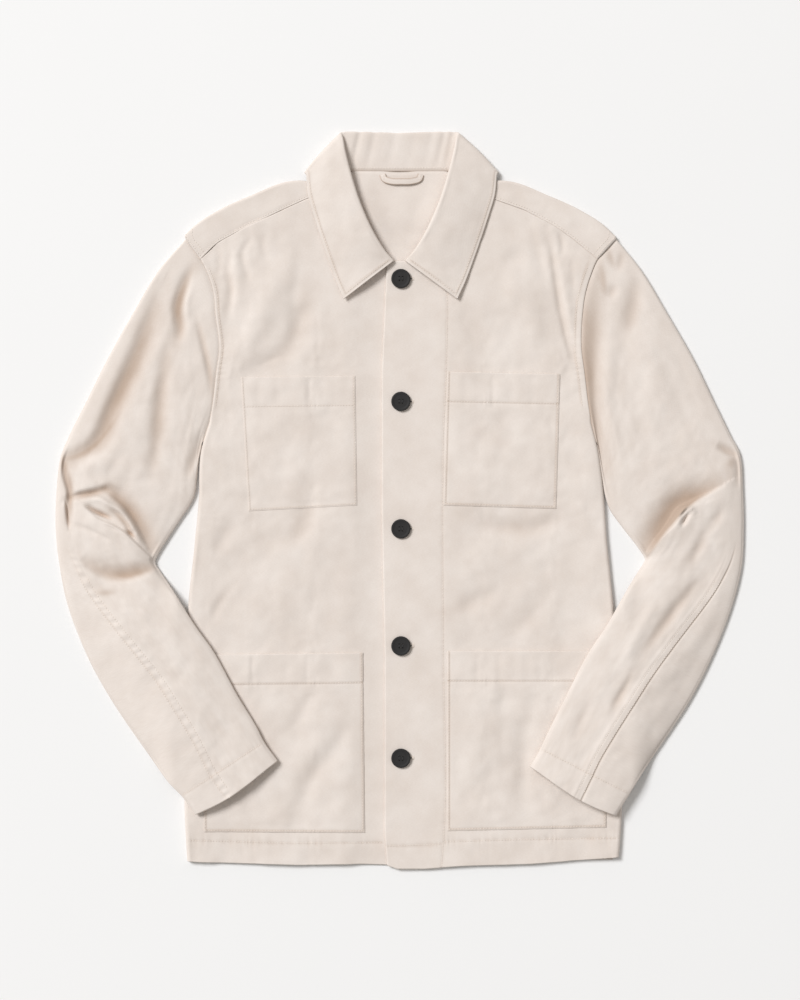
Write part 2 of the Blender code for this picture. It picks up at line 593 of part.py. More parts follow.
def collar(name):
    """Stand and fall in one band: neck seam, fold, outer edge. The fall turns under behind the neck."""
    left = COLLAR[::-1][1:].copy()
    left[:, (0, 3, 6)] *= -1
    left[:, 6] *= COLLAR_RIGHT_REACH
    rows = np.concatenate([COLLAR, left])
    middle = []
    for nx, ny, nz, fx, fy, fz, ex, ey, ez, turn, radius in rows:
        neck, fold, edge = np.array((nx, ny, nz)), np.array((fx, fy, fz)), np.array((ex, ey, ez))
        outward = np.array((np.sign(fx) * COLLAR_OUTWARD[0], COLLAR_OUTWARD[1], 0.0))
        over = np.cos(np.radians(turn)) * np.array((0, 0, 1.0)) + np.sin(np.radians(turn)) * outward
        back_dir = (neck + edge) / 2 - fold
        back_dir[2] = 0
        back_dir /= np.linalg.norm(back_dir)
        centre = fold + back_dir * radius
        roll = [centre + radius * (-back_dir * np.sin(a) - over * np.cos(a))
                for a in np.linspace(0, np.pi, ROLL_STEPS + 1)]
        stand = [neck + (roll[0] - neck) * k / STAND_STEPS for k in range(STAND_STEPS)]
        fall = []
        for k in range(1, FALL_STEPS + 1):
            part = k / FALL_STEPS
            bulge = 1.6 * np.sin(np.pi * part) * max(0.0, np.cos(np.radians(turn) / 2))
            point = roll[-1] + (edge - roll[-1]) * part + over * bulge
            fall.append(point)
        middle.append(stand + roll + fall)
    middle = np.array(middle)
    flow_u, flow_v = np.gradient(middle, axis=0), np.gradient(middle, axis=1)
    normal = np.cross(flow_u, flow_v)
    normal /= np.linalg.norm(normal, axis=-1, keepdims=True)
    half_wall = COLLAR_CLOTH / 2
    wall(name, middle + normal * half_wall, middle - normal * half_wall)


def hanger_loop(name):
    """Flat tape sewn into the neck seam at both ends."""
    path = np.array(LOOP_PATH)
    ahead = np.gradient(path, axis=0)
    ahead /= np.linalg.norm(ahead, axis=1, keepdims=True)
    across = np.stack([-ahead[:, 1], ahead[:, 0]], -1) * LOOP_WIDTH / 2
    low = COLLAR_BED + CLOTH + GAP
    plan = np.stack([path - across, path + across], 1)
    lower = np.concatenate([plan, np.full(plan.shape[:2] + (1,), low)], -1)
    wall(name, lower + (0, 0, LOOP_CLOTH), lower)


def button(name, y):
    """A turned four-hole button with a rim, its holes cut through."""
    base = FRONT_TOP + GAP
    r, t = BUTTON_RADIUS, BUTTON_THICK
    profile = ((r * 0.72, 0.0), (r * 0.95, t * 0.30), (r, t * 0.62), (r * 0.94, t), (r * 0.80, t * 0.97),
               (r * 0.66, t * 0.72))
    sides = 20
    angles = 2 * np.pi * np.arange(sides) / sides
    points = [(0, 0, 0)]
    for radius, z in profile:
        points += [(radius * np.cos(a), radius * np.sin(a), z) for a in angles]
    points.append((0, 0, t * 0.66))
    faces = [(0, 1 + (k + 1) % sides, 1 + k) for k in range(sides)]
    for ring in range(len(profile) - 1):
        low, high = 1 + ring * sides, 1 + (ring + 1) * sides
        for k in range(sides):
            n = (k + 1) % sides
            faces.append((low + k, low + n, high + n, high + k))
    last = 1 + (len(profile) - 1) * sides
    faces += [(last + k, last + (k + 1) % sides, len(points) - 1) for k in range(sides)]
    moved = [(px + BUTTON_X, py + y, pz + base) for px, py, pz in points]
    disc = finish(name, moved, faces, HORN)
    cutter = hole_cutter(name + "_holes", BUTTON_X, y, base)
    cut = disc.modifiers.new("holes", "BOOLEAN")
    cut.object = cutter
    cut.operation = "DIFFERENCE"
    cut.solver = "EXACT"


def hole_cutter(name, x, y, base):
    """Four posts that cut a button's thread holes."""
    sides = 8
    points, faces = [], []
    for sx, sy in ((1, 1), (-1, 1), (-1, -1), (1, -1)):
        first = len(points)
        for z in (base - 1, base + BUTTON_THICK + 1):
            for k in range(sides):
                a = 2 * np.pi * (k + 0.5) / sides
                points.append((x + sx * BUTTON_HOLE_OFFSET + BUTTON_HOLE_RADIUS * np.cos(a),
                               y + sy * BUTTON_HOLE_OFFSET + BUTTON_HOLE_RADIUS * np.sin(a), z))
        faces.append([first + k for k in reversed(range(sides))])
        faces.append([first + sides + k for k in range(sides)])
        for k in range(sides):
            n = (k + 1) % sides
            faces.append((first + k, first + n, first + sides + n, first + sides + k))
    cutter = finish(name, points, faces, HORN)
    cutter.hide_render = True
    cutter.display_type = "WIRE"
    return cutter


def build():
    """Every piece of the overshirt."""
    for thing in list(bpy.data.objects):
        bpy.data.objects.remove(thing, do_unlink=True)
    back("back")
    ups = np.cumsum((0,) + FRONT_UP)
    row_of = dict(zip(("hem",) + tuple(LEFT_ROWS), ups))
    chest_column = sum(FRONT_ACROSS[:3])
    hip_column = sum(FRONT_ACROSS[:4])
    for hand, wearer in ((-1, "right"), (1, "left")):
        plan, top = front("front_" + wearer, hand)
        chest_rows = (row_of["chest_bottom"], row_of["chest_top"])
        hip_rows = (row_of["hip_bottom"], row_of["hip_top"])
        pocket("pocket_chest_" + wearer, plan, top, hand, chest_rows, chest_column)
        pocket("pocket_hip_" + wearer, plan, top, hand, hip_rows, hip_column)
        sleeve("sleeve_" + wearer, RIGHT_SLEEVE if hand < 0 else LEFT_SLEEVE, hand)
    collar("collar")
    hanger_loop("hanger_loop")
    for number, y in enumerate(BUTTONS, 1):
        button(f"button_{number}", y)


build()
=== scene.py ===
"""Looks of the overshirt: washed cotton twill, laid flat and buttoned, seen from straight above.

The tables are in millimetres, in the same frame as the solids' tables: +X to the right of the picture,
+Y to the collar, +Z up from the surface it lies on. Left and right are the wearer's. Heights, widths
and wavelengths of fine relief stand in the formulas that make it, in millimetres too.
"""

import bpy
import numpy as np
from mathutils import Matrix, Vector
from mathutils.bvhtree import BVHTree


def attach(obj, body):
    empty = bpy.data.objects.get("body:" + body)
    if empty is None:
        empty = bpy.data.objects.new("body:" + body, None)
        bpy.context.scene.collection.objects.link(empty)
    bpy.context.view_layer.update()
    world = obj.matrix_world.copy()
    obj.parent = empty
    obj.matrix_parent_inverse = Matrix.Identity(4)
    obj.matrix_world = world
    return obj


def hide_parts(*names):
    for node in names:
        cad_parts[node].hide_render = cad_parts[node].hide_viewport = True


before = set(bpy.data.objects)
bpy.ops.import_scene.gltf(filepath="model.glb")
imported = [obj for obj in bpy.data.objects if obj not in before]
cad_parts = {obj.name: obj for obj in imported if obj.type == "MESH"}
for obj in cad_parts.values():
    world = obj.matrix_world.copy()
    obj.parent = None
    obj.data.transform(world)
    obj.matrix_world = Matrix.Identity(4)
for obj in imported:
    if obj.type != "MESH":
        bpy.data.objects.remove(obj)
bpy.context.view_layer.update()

MM = 0.001
CENTRE = np.array((0.25, 0.85, 0.0))    # middle of the garment in the tables' frame
RIGHT, LEFT = -1, 1                     # the hands: the right one is at negative x, at image left

# ---------------------------------------------------------------- driving dimensions, as in the solids
CLOTH = 1.2
COLLAR_CLOTH = 1.4
POCKET_CLOTH = 1.2
FACING = 2.4            # the doubled edge of the upper front
GAP = 0.3               # between two layers
FRONT_TOP = 5.8         # heights of upper faces
SIDE_TOP = 7.4
UNDER_TOP = 3.1
SHOULDER_TOP = 6.2
COLLAR_BED = 1.7        # heights at which the back lies, over the collar and over the tucked strips
TUCK_BED = 1.5
TUCK = 40.0             # width turned under at the side
FOLD_RADIUS = SIDE_TOP / 2
HEM = -383.0
ARMHOLE_FOOT = 112.0
ARMHOLE_TOP = 256.0
SHOULDER_CORNER = 279.0
NECK_POINT = 90.0
SLEEVE_EDGE = 2.6       # radius of the sleeve's rounded edges
SLEEVE_CLEAR = 1.4      # between a forearm and the pocket under it
ARMHOLE_SEAM = 0.9
ARMHOLE_RINGS = 5.0     # sections over which the sleeve comes away from the armhole
FOREARM_RING = 8.0      # section at which it comes to lie on the body
BUTTONS = (235, 105, -30, -154, -273)
BUTTON_X = 1.5
BUTTON_RADIUS = 10.3
BUTTON_THICK = 3.4
BUTTON_HOLE = 0.9
BUTTON_HOLE_OUT = 1.7

# ---------------------------------------------------------------- dimensions of the finer detail
FOLD_STEPS = 8          # steps round the turned side edge, and across the strip turned under
TUCK_STEPS = 5
UNDER_SEAM = 2.6        # how far a front goes under the shoulder strip, and how deep
UNDER_DROP = 1.7
ARMHOLE_STITCH = {RIGHT: 3.6, LEFT: 6.8}    # topstitch beside the armhole, from its edge
STREAK = 0.22           # height of the long soft streaks on the chest
POCKET_EDGE = 1.6       # stitched this far inside the edge
POCKET_BAND = 31.0
POCKET_LIFT = 0.08
SHOULDER_STITCH = 2.6   # stitched this far inside the shoulder seam
SHOULDER_FOLD_STEPS = 10
SHOULDER_STRIP_STEPS = 16
SLEEVE_LOW = 14         # points across the lower layer
SLEEVE_FULLER = 1.45
SLEEVE_EDGE_STEPS = 5
CUFF_BOW = 4.0
CUFF_HEM = 27.0
CUFF_LAYER = 3.0        # the lower layer shows this far beyond the upper one
STAND_STEPS = 12        # steps of the collar across its stand, roll and fall
ROLL_STEPS = 8
FALL_STEPS = 26
COLLAR_EDGE = 3.3       # stitched this far inside the edge
BUTTON_DISH = 0.89      # height of the dish, as a share of the button's thickness
SLIT_START = -7.0
SLIT_END = 13.2         # the buttonholes reach this far beyond the middle
SATIN_PITCH = 0.55
STITCH_PITCH = 3.0
STITCH_LENGTH = 2.2
THREAD_RADIUS = 0.36
RIM = 0.45              # how far a sheet's rounded edge stands out, as a share of its thickness
GRADE = 0.6             # how much closer together points are at the seams

# ---------------------------------------------------------------- outlines and seams, as in the solids
# Side of the body, up from the hem, then the armhole: y, x at the wearer's right, x at the left
SIDE = np.array([
    (-388, -225, 232), (-328, -228, 236), (-210, -226, 231), (-110, -224, 227), (-42, -217, 220),
    (0, -213, 217), (50, -211, 211), (97, -199, 201), (137, -194, 196), (160, -191, 193),
    (198, -195, 194), (220, -197, 197), (240, -203, 203), (256, -211, 210), (279, -228, 230),
], float)
# Shoulder seam and neck edge of a front, outwards from the middle: x, y
FRONT_HEAD = {LEFT: np.array([
    (-16, 247), (-8, 250), (3, 251), (14, 249), (36, 260), (54, 278), (68, 297), (81, 313), (90, 323),
    (102, 319), (133, 308), (165, 291), (186, 276), (210, 256),
], float), RIGHT: np.array([
    (-27, 246), (-1, 243.5), (14, 245), (31, 259), (50, 277), (65, 295), (79, 311), (90, 323),
    (99, 320), (127, 307), (163, 290), (194, 273), (211, 256),
], float)}
FRONT_HEM = {
    LEFT: np.array([(-14, -386), (-2, -390), (26, -390), (67, -387), (137, -385), (232, -378)], float),
    RIGHT: np.array([(-32, -387), (15, -386), (42, -385), (105, -386), (211, -383), (225, -382)], float),
}
# Top of the back, outwards from the middle: x, y
BACK_HEAD = np.array([
    (0, 348.4), (53, 348.4), (70, 343), (84, 337), (88, 337), (104, 339.5), (118, 338.5), (157, 324),
    (192, 308), (217, 292), (230, 279.5),
], float)

# Named columns of a front, distance from the middle at each height
COLUMNS = {LEFT: {
    "y": (-390, -350, -160, -5, 135, 247),
    "edge": (-12, -15, -15, -18, -18, -13),
    "facing": (44, 46.5, 46.5, 45.6, 49.4, 51.4),
    "inner": (50, 51, 51, 47, 51, 53),
    "chest": (165, 165, 165, 166, 170, 168),
    "hip": (219, 219, 219, 198, 181, 189),
}, RIGHT: {
    "y": (-390, -350, -162, -8, 131, 246),
    "edge": (-31, -31, -31, -30, -29, -27),
    "facing": (16, 17, 17, 20, 20, 16),         # just outside the edge that lies on it
    "inner": (37, 37, 39, 45, 47, 50),
    "chest": (160, 160, 160, 160, 168, 163),
    "hip": (207, 207, 207, 196, 181, 187),
}}
# Level seams of a front: height at the pocket's inner side and at the side of the body
ROWS = {LEFT: {
    "hem_stitch": (-364, -358), "hip_bottom": (-350, -346), "hip_band": (-190, -188),
    "hip_top": (-160, -160), "chest_bottom": (-5, -10), "chest_band": (103, 100), "chest_top": (136, 133),
}, RIGHT: {
    "hem_stitch": (-363, -360), "hip_bottom": (-352, -351), "hip_band": (-188, -190),
    "hip_top": (-162, -164), "chest_bottom": (-5, -14), "chest_band": (101, 96), "chest_top": (132, 130),
}}

# Sleeve sections from armhole to cuff: outer edge x, y, inner edge x, y, fullness of the upper layer
SLEEVE_SECTIONS = {LEFT: np.array([
    (231, 279, 212.5, 57, 0.6), (259, 243, 214.0, 41, 1.8), (286, 197, 216.0, 22, 3.0),
    (312, 151, 218.5, 5, 3.4), (334, 105, 224, -11, 3.6), (351, 70, 236, -28, 3.8),
    (362, 47, 250, -46, 4.4), (364.5, 11, 259, -59, 5.0), (365.5, -29, 260, -64, 5.0),
    (363, -72, 254, -74, 4.2), (351, -118, 239, -97, 3.6), (331, -168, 219, -132, 3.2),
    (308, -213, 198, -164, 3.0), (280, -256, 178, -203, 2.8), (255, -292, 158, -243, 2.8),
    (241, -314, 147, -266, 3.4), (229, -333, 138, -281, 4.2),
], float), RIGHT: np.array([
    (-229, 278, -212.5, 57, 0.6), (-258, 243, -214.8, 41, 1.8), (-285, 197, -216.0, 22, 3.0),
    (-310, 151, -217.5, 7, 3.4), (-333, 104, -223, -6, 3.6), (-350, 70, -235, -24, 3.8),
    (-360, 45, -248, -44, 4.4), (-364, 11, -257, -59, 5.0), (-365, -29, -259, -66, 5.0),
    (-361, -68, -254, -75, 4.2), (-351, -115, -237, -99, 3.6), (-330, -168, -216, -132, 3.2),
    (-305, -213, -195, -162, 3.0), (-276, -256, -173, -203, 2.8), (-248, -294, -153, -236, 2.8),
    (-229, -314, -142, -257, 3.4), (-216, -332, -129, -275, 4.2),
], float)}

# Collar, from the front edge round to the centre of the back: neck seam, fold, outer edge (x, y, z each),
# turn of the fall (0 over, 180 under), radius of the fold
COLLAR = np.array([
    (10.0, 253.5, 5.7, 6.5, 254, 8.6, 61, 214, 10.4, 0, 1.3),
    (25.5, 257.5, 5.4, 17, 266, 11.0, 70, 234, 8.0, 0, 1.8),
    (46.0, 276.5, 5.3, 30, 288, 13.0, 80, 261, 7.7, 0, 2.1),
    (66.0, 300.0, 5.4, 43, 318, 13.6, 91, 293, 7.7, 0, 2.1),
    (83.0, 319.0, 5.4, 52.5, 349, 12.2, 100, 322, 7.8, 0, 2.0),
    (84.5, 333.0, 4.8, 58, 371, 10.2, 102, 338, 7.8, 0, 1.9),
    (75.0, 344.5, 3.3, 60.5, 385, 7.0, 102.5, 345.5, 7.4, 0, 1.8),
    (73.0, 344.5, 2.6, 61.5, 388, 5.4, 104.5, 347.5, 5.4, 60, 1.7),
    (70.0, 346.0, 2.5, 60.5, 390, 3.4, 104.0, 347.5, 2.6, 120, 1.6),
    (64.0, 348.5, 2.4, 57, 390.8, 2.2, 99, 341, 0.7, 180, 1.5),
    (53.0, 349.6, 2.4, 48, 391, 2.2, 84, 329, 0.7, 180, 1.5),
    (30.0, 349.6, 2.4, 30, 390.6, 2.2, 52, 317, 0.7, 180, 1.5),
    (0.0, 349.6, 2.4, 0, 389.5, 2.2, 0, 312, 0.7, 180, 1.5),
], float)
COLLAR_RIGHT_REACH = 0.96
LOOP_PATH = ((-18, 345.5), (-16.5, 341.5), (-10, 338.8), (2, 338.2), (14, 338.8), (21, 341.5), (22.5, 345.5))
LOOP_WIDTH = 6.0
LOOP_CLOTH = 1.0

# ---------------------------------------------------------------- folds placed one by one
# Each: points of its line, height (troughs negative), half width on its left and on its right
FRONT_FOLDS = {RIGHT: (
    (((-110, 262), (-143, 202), (-190, 110)), 4.0, 16, 15),
    (((-97, 250), (-105, 197), (-116, 165), (-148, 142), (-172, 132)), -3.0, 12, 9),
    (((-179, 263), (-182, 246), (-178, 223), (-183, 193)), -2.0, 3.5, 5),
    (((-192, 273), (-191, 249), (-195, 229)), -1.4, 3.5, 3.5),
    (((-156, 280), (-167, 261), (-164, 248), (-158, 229)), -1.6, 4, 4),
    (((-173, 276), (-173, 253), (-170, 223), (-173, 186)), 1.0, 6, 5),
    (((-146, 145), (-134, 151), (-119, 155)), -0.7, 2, 3),
    (((-142, 288), (-145, 272), (-140, 251)), -1.0, 4, 4),
    (((-92, 55), (-95, 11), (-96, -12), (-111, -39), (-135, -43), (-158, -31)), -2.6, 9, 12),
    (((-174, -21), (-186, -40), (-196, -58)), -1.6, 8, 8),
    (((-176, -88), (-190, -108), (-199, -127)), -1.4, 3, 4),
    (((-60, 150), (-74, 60), (-66, -30)), -1.2, 16, 14),
    (((-60, -40), (-76, -100), (-70, -150)), -1.0, 18, 16),
    (((-95, -203), (-104, -225), (-116, -245)), -1.6, 8, 8),
    (((-50, -217), (-63, -256), (-90, -291), (-105, -323), (-111, -349)), -2.6, 9, 11),
    (((-72, -225), (-88, -262), (-118, -300)), 1.4, 14, 14),
    (((-118, -70), (-140, -100), (-150, -150)), 1.2, 22, 20),
), LEFT: (
    (((156, 289), (163, 257), (169, 217), (176, 181), (186, 149), (196, 132)), -3.2, 5, 4),
    (((162, 285), (170, 234), (182, 181), (191, 157)), 1.6, 7, 7),
    (((168, 287), (173, 270), (170, 255)), -1.2, 3, 3),
    (((182, 259), (184, 231), (190, 200)), -1.0, 3, 4),
    (((139, 295), (147, 263), (155, 228)), -1.0, 4, 6),
    (((110, 255), (125, 225), (150, 160)), 2.4, 15, 15),
    (((101, 253), (120, 256), (138, 253)), -1.4, 8, 8),
    (((64, -15), (101, -28), (149, -28), (178, -12)), -2.6, 10, 9),
    (((60, -62), (110, -56), (160, -70)), 1.6, 18, 18),
    (((48, -118), (80, -108), (112, -90)), -2.0, 10, 8),
    (((112, -150), (136, -125), (156, -95)), -1.6, 9, 9),
    (((62, 215), (84, 160), (80, 138)), -0.8, 14, 14),
    (((149, -200), (136, -240), (132, -290), (133, -344)), -3.0, 8, 10),
    (((109, -164), (112, -195), (109, -232)), -1.2, 8, 9),
    (((88, -215), (80, -270), (92, -335)), 1.0, 16, 16),
)}
SLEEVE_FOLDS = {RIGHT: (
    (((-360, 51), (-357, 41), (-354, 24), (-350, 9), (-351, -8), (-351, -23), (-350, -31)), -5.2, 4.5, 2.6),
    (((-354, 1), (-352, -15), (-350, -31)), -3.2, 1.2, 1.0),
    (((-349, 7), (-339, 11), (-326, 14), (-314, 17), (-304, 21)), 2.0, 10, 2.0),
    (((-354, 1), (-339, 5), (-328, 7), (-317, 10), (-305, 13)), -4.8, 3.0, 5.0),
    (((-317, 17), (-302, 6), (-290, -5), (-280, -19), (-273, -32), (-267, -45), (-258, -61)), -5.6, 10, 4),
    (((-354, -4), (-339, 2), (-328, 3), (-317, 2), (-306, -5), (-295, -11), (-286, -23), (-279, -34),
      (-269, -50)), 3.6, 3.0, 5.0),
    (((-307, -7), (-294, -17), (-287, -28), (-280, -42)), -3.2, 2.6, 2.6),
    (((-333, -5), (-323, -12), (-314, -16), (-304, -20)), -6.0, 3.5, 1.4),
    (((-334, -6), (-328, -13), (-321, -19), (-313, -23), (-305, -26), (-296, -31), (-289, -36), (-282, -43),
      (-274, -51), (-264, -61), (-252, -76)), 4.8, 1.6, 16),
    (((-289, -30), (-284, -36), (-280, -31)), -2.8, 1.3, 1.3),
    (((-349, -23), (-334, -29), (-324, -33), (-312, -39), (-301, -44)), -1.4, 2.5, 4),
    (((-313, -26), (-305, -29), (-294, -33)), -1.2, 2, 2),
    (((-339, -59), (-322, -73), (-307, -79), (-292, -80), (-277, -77), (-256, -69)), -5.2, 10, 5),
    (((-251, 229), (-264, 193), (-275, 162), (-288, 134), (-305, 98), (-321, 64), (-335, 51), (-348, 46),
      (-360, 43), (-375, 40)), -6.4, 12, 8),
    (((-213, 256), (-222, 241), (-228, 227), (-235, 204), (-233, 178), (-236, 165)), -6.8, 6, 5),
    (((-216, 253), (-221, 234), (-225, 213), (-224, 186)), 2.0, 4, 5),
    (((-215, 193), (-208, 165), (-201, 134), (-197, 101)), -3.2, 4, 3),
    (((-241, 170), (-249, 138), (-254, 101), (-258, 64), (-264, 27)), -4.0, 8, 7),
    (((-206, 75), (-216, 48), (-226, 22)), -2.4, 4, 6),
    (((-339, 32), (-323, 41), (-305, 32)), 2.8, 9, 9),
    (((-341, -63), (-307, -116), (-264, -178)), 2.0, 10, 12),
), LEFT: (
    (((356, 56), (359, 32), (358, 9)), -1.6, 5, 4),
    (((258, -58), (267, -44), (277, -32), (286, -19), (294, -7), (306, -1), (322, 7),
      (342, 17)), -8.0, 15, 2.0),
    (((258, -63), (269, -51), (281, -37), (291, -27), (302, -14), (310, -7), (321, -3)), 3.4, 2.0, 14),
    (((302, -14), (319, -4), (342, 9), (354, 26)), 1.0, 9, 14),
    (((293, -28), (297, -13), (304, -7), (310, -10), (312, -17)), 4.4, 1.8, 1.8),
    (((299, -28), (302, -20), (307, -13)), -4.8, 2.0, 2.0),
    (((206, 257), (208, 236), (205, 213), (201, 181), (200, 144), (202, 107), (209, 64),
      (219, 9)), -5.2, 13, 8),
    (((209, 246), (214, 229)), -1.6, 2, 3),
    (((228, 229), (222, 214)), -2.0, 5, 6),
    (((220, 270), (224, 257), (229, 246)), -2.6, 3, 4),
    (((237, 266), (234, 253), (231, 242)), -1.8, 4, 4),
    (((252, 239), (248, 207), (239, 175)), -2.8, 8, 9),
    (((266, 191), (271, 128), (285, 64)), 2.8, 18, 18),
    (((225, 181), (219, 107), (232, 43)), 2.4, 8, 9),
    (((321, -79), (302, -102), (281, -129), (255, -164)), -3.2, 6, 6),
    (((344, -5), (323, -40), (302, -74)), -2.4, 5, 6),
    (((335, -21), (319, -50)), 1.6, 5, 5),
    (((246, -182), (236, -201), (223, -224)), -2.4, 4, 4),
    (((276, -100), (255, -135), (232, -178)), 2.0, 7, 7),
    (((202, -211), (191, -235), (183, -256)), -1.6, 5, 5),
    (((351, -79), (319, -139), (271, -201)), 2.0, 10, 10),
    (((335, 59), (348, 52), (359, 46)), -3.2, 5, 4),
)}
# Painted shade, darker in the depth of the folds: points of the line, share, half widths left and right
SLEEVE_SHADE = {RIGHT: (
    (((-370, 40), (-360, 44), (-348, 45), (-335, 50), (-321, 61), (-304, 83), (-288, 112)), 0.85, 5, 5),
    (((-356, 41), (-350, 16), (-350, 1), (-351, -27)), 0.7, 4.5, 3),
    (((-349, 4), (-339, 6), (-328, 8), (-317, 11), (-307, 16)), 0.9, 3, 5),
    (((-320, 17), (-310, 12), (-302, 4), (-292, -5), (-284, -15), (-276, -28), (-267, -47)), 0.9, 9, 4),
    (((-309, -7), (-301, -13), (-292, -22), (-281, -37)), 0.6, 3, 3),
    (((-333, -5), (-322, -12), (-313, -16), (-303, -20)), 0.9, 3, 1.5),
    (((-289, -30), (-284, -36), (-280, -39)), 0.9, 1.6, 1.6),
    (((-320, -72), (-305, -78), (-292, -80), (-277, -77), (-254, -69)), 0.9, 9, 4),
    (((-323, -97), (-311, -98), (-298, -96)), 0.4, 4, 3),
), LEFT: (
    (((255, -69), (268, -49), (278, -34), (288, -22), (297, -11), (309, -1), (325, 9),
      (350, 24)), 1.1, 13, 3),
    (((348, 34), (357, 48)), 0.35, 5, 5),
    (((204, 253), (200, 228), (197, 191), (196, 128), (200, 75), (213, 1)), 0.75, 15, 5),
    (((213, 253), (216, 234), (219, 213)), 0.5, 4, 5),
)}
BACK_FOLDS = (
    (((-52, 340), (-30, 300), (-14, 262)), 2.6, 12, 10),
    (((50, 336), (34, 298), (18, 262)), 3.0, 9, 13),
    (((8, 335), (4, 300), (2, 266)), 1.2, 14, 14),
)

# Seams: points of the line, depth of the groove, half width, amount of pucker
FRONT_SEAMS = {RIGHT: (
    (((-226, -360.4), (-114, -363), (-18, -363)), 0.35, 1.1, 0.26),
), LEFT: (
    (((47, -362), (92, -360.5), (233, -357.8)), 0.35, 1.1, 0.26),
    (((-14, -366.6), (44, -364.5)), 0.4, 1.3, 0.12),
    (((51.4, 247), (49.4, 135), (46.4, 64), (45.6, -5), (46.5, -160), (46.5, -364),
      (44.5, -389)), 0.25, 1.6, 0.08),
)}


# ---------------------------------------------------------------- curves and relief
def ease(value, start, end):
    """0 at start, 1 at end, soft at both."""
    t = np.clip((value - start) / (end - start), 0.0, 1.0)
    return t * t * (3.0 - 2.0 * t)


def swell(share, power):
    """0 at both ends, 1 in the middle."""
    return np.clip(np.sin(np.pi * share), 0.0, 1.0) ** power


def ridge(off, width):
    """1 on a line, fading within about this width on both sides."""
    return np.exp(-(off / width) ** 2)


def ripple(along, pitch, drift, beat):
    """Uneven waves along a seam, between -1 and 1."""
    return np.cos(along * 2 * np.pi / pitch + drift * np.sin(along * beat))


def unit(vectors):
    """The vectors at length 1."""
    return vectors / np.maximum(np.linalg.norm(vectors, axis=-1, keepdims=True), 1e-9)


def run_along(path):
    """Distance along a line at each of its points."""
    return np.concatenate([[0], np.cumsum(np.hypot(*np.diff(path, axis=0).T))])


def on_line(line, x):
    """y of a line of points at x."""
    return np.interp(x, line[:, 0], line[:, 1])


def flow(at, stations, values):
    """Smooth curve through the values at the stations."""
    stations, values = np.asarray(stations, float), np.asarray(values, float)
    at = np.clip(at, stations[0], stations[-1])
    k = np.clip(np.searchsorted(stations, at, side="right") - 1, 0, len(stations) - 2)
    slopes = np.gradient(values, stations)
    span = stations[k + 1] - stations[k]
    t = (at - stations[k]) / span
    start, end = values[k], values[k + 1]
    rise = end - start
    lead, trail = slopes[k] * span, slopes[k + 1] * span
    return start + t * (lead + t * (3 * rise - 2 * lead - trail + t * (lead + trail - 2 * rise)))


def smooth(line, step):
    """Evenly spaced points on a smooth curve through the line."""
    line = np.asarray(line, float)
    run = run_along(line)
    at = np.linspace(0, run[-1], max(3, int(np.ceil(run[-1] / step)) + 1))
    return np.stack([flow(at, run, line[:, 0]), flow(at, run, line[:, 1])], -1)


def measure(line, x, y, reach):
    """Distance of the points from a line, positive on its left, the distance along it, and its length."""
    path = smooth(line, 4.0)
    low, high = path.min(0) - reach, path.max(0) + reach
    close = (x > low[0]) & (x < high[0]) & (y > low[1]) & (y < high[1])
    off, along = np.full(x.shape, 1e6), np.zeros(x.shape)
    start, step = path[:-1], np.diff(path, axis=0)
    length = np.hypot(*step.T)
    run = run_along(path)
    gap = np.stack([x[close], y[close]], -1)[:, None] - start
    t = np.clip((gap * step).sum(-1) / length ** 2, 0, 1)
    gap = gap - t[..., None] * step
    distance = np.hypot(gap[..., 0], gap[..., 1])
    k = distance.argmin(1) if len(distance) else np.zeros(0, int)
    here = np.arange(len(k))
    turn = step[k, 0] * gap[here, k, 1] - step[k, 1] * gap[here, k, 0]
    off[close] = distance[here, k] * np.where(turn < 0, -1, 1)
    along[close] = run[k] + t[here, k] * length[k]
    return off, along, run[-1]


def folds(table, x, y):
    """Sum of the folds' relief at the points."""
    relief = np.zeros(np.shape(x))
    for line, height, left, right in table:
        off, along, total = measure(line, x, y, 3 * max(left, right))
        ends = swell(np.clip(along / total, 0.03, 0.97), 0.8)
        relief += height * ridge(off, np.where(off > 0, left, right)) * ends
    return relief


def seams(table, x, y):
    """Relief of the stitched lines: a groove, and puckers across it."""
    relief = np.zeros(np.shape(x))
    for line, depth, width, pucker in table:
        off, along, _ = measure(line, x, y, 14)
        relief -= depth * ridge(off, width)
        wave = np.cos(along * 2 * np.pi / 5.3 + 2.4 * np.sin(along * 0.21) + 1.7 * np.sin(along * 0.083))
        relief += pucker * wave * np.exp(-np.abs(off) / 4.0)
    return relief


def mottle(x, y, size, seed):
    """Soft random relief between -1 and 1, with lumps about this size."""
    count = 97
    cells = np.random.default_rng(seed).uniform(-1, 1, (count, count))
    turn = 0.5 + seed
    u = (x * np.cos(turn) - y * np.sin(turn)) / size + 1000
    v = (x * np.sin(turn) + y * np.cos(turn)) / size + 1000
    i, j = np.floor(u).astype(int), np.floor(v).astype(int)
    s, t = u - i, v - j
    s, t = s ** 3 * (10 - 15 * s + 6 * s * s), t ** 3 * (10 - 15 * t + 6 * t * t)
    i0, i1, j0, j1 = i % count, (i + 1) % count, j % count, (j + 1) % count
    low = cells[i0, j0] * (1 - s) + cells[i1, j0] * s
    high = cells[i0, j1] * (1 - s) + cells[i1, j1] * s
    return low * (1 - t) + high * t


def crumple(x, y, seed):
    """Unevenness of cloth that has been washed and lies free: size and height of its lumps, added up."""
    sizes = ((58, 0.99), (27, 0.585), (12, 0.42), (6.5, 0.19), (3.6, 0.08))
    return sum(height * mottle(x, y, size, seed + k) for k, (size, height) in enumerate(sizes))


def settle(height, least, soft):
    """Keeps the height above the least one, with a soft landing."""
    return least + soft * np.logaddexp(0, (height - least) / soft)


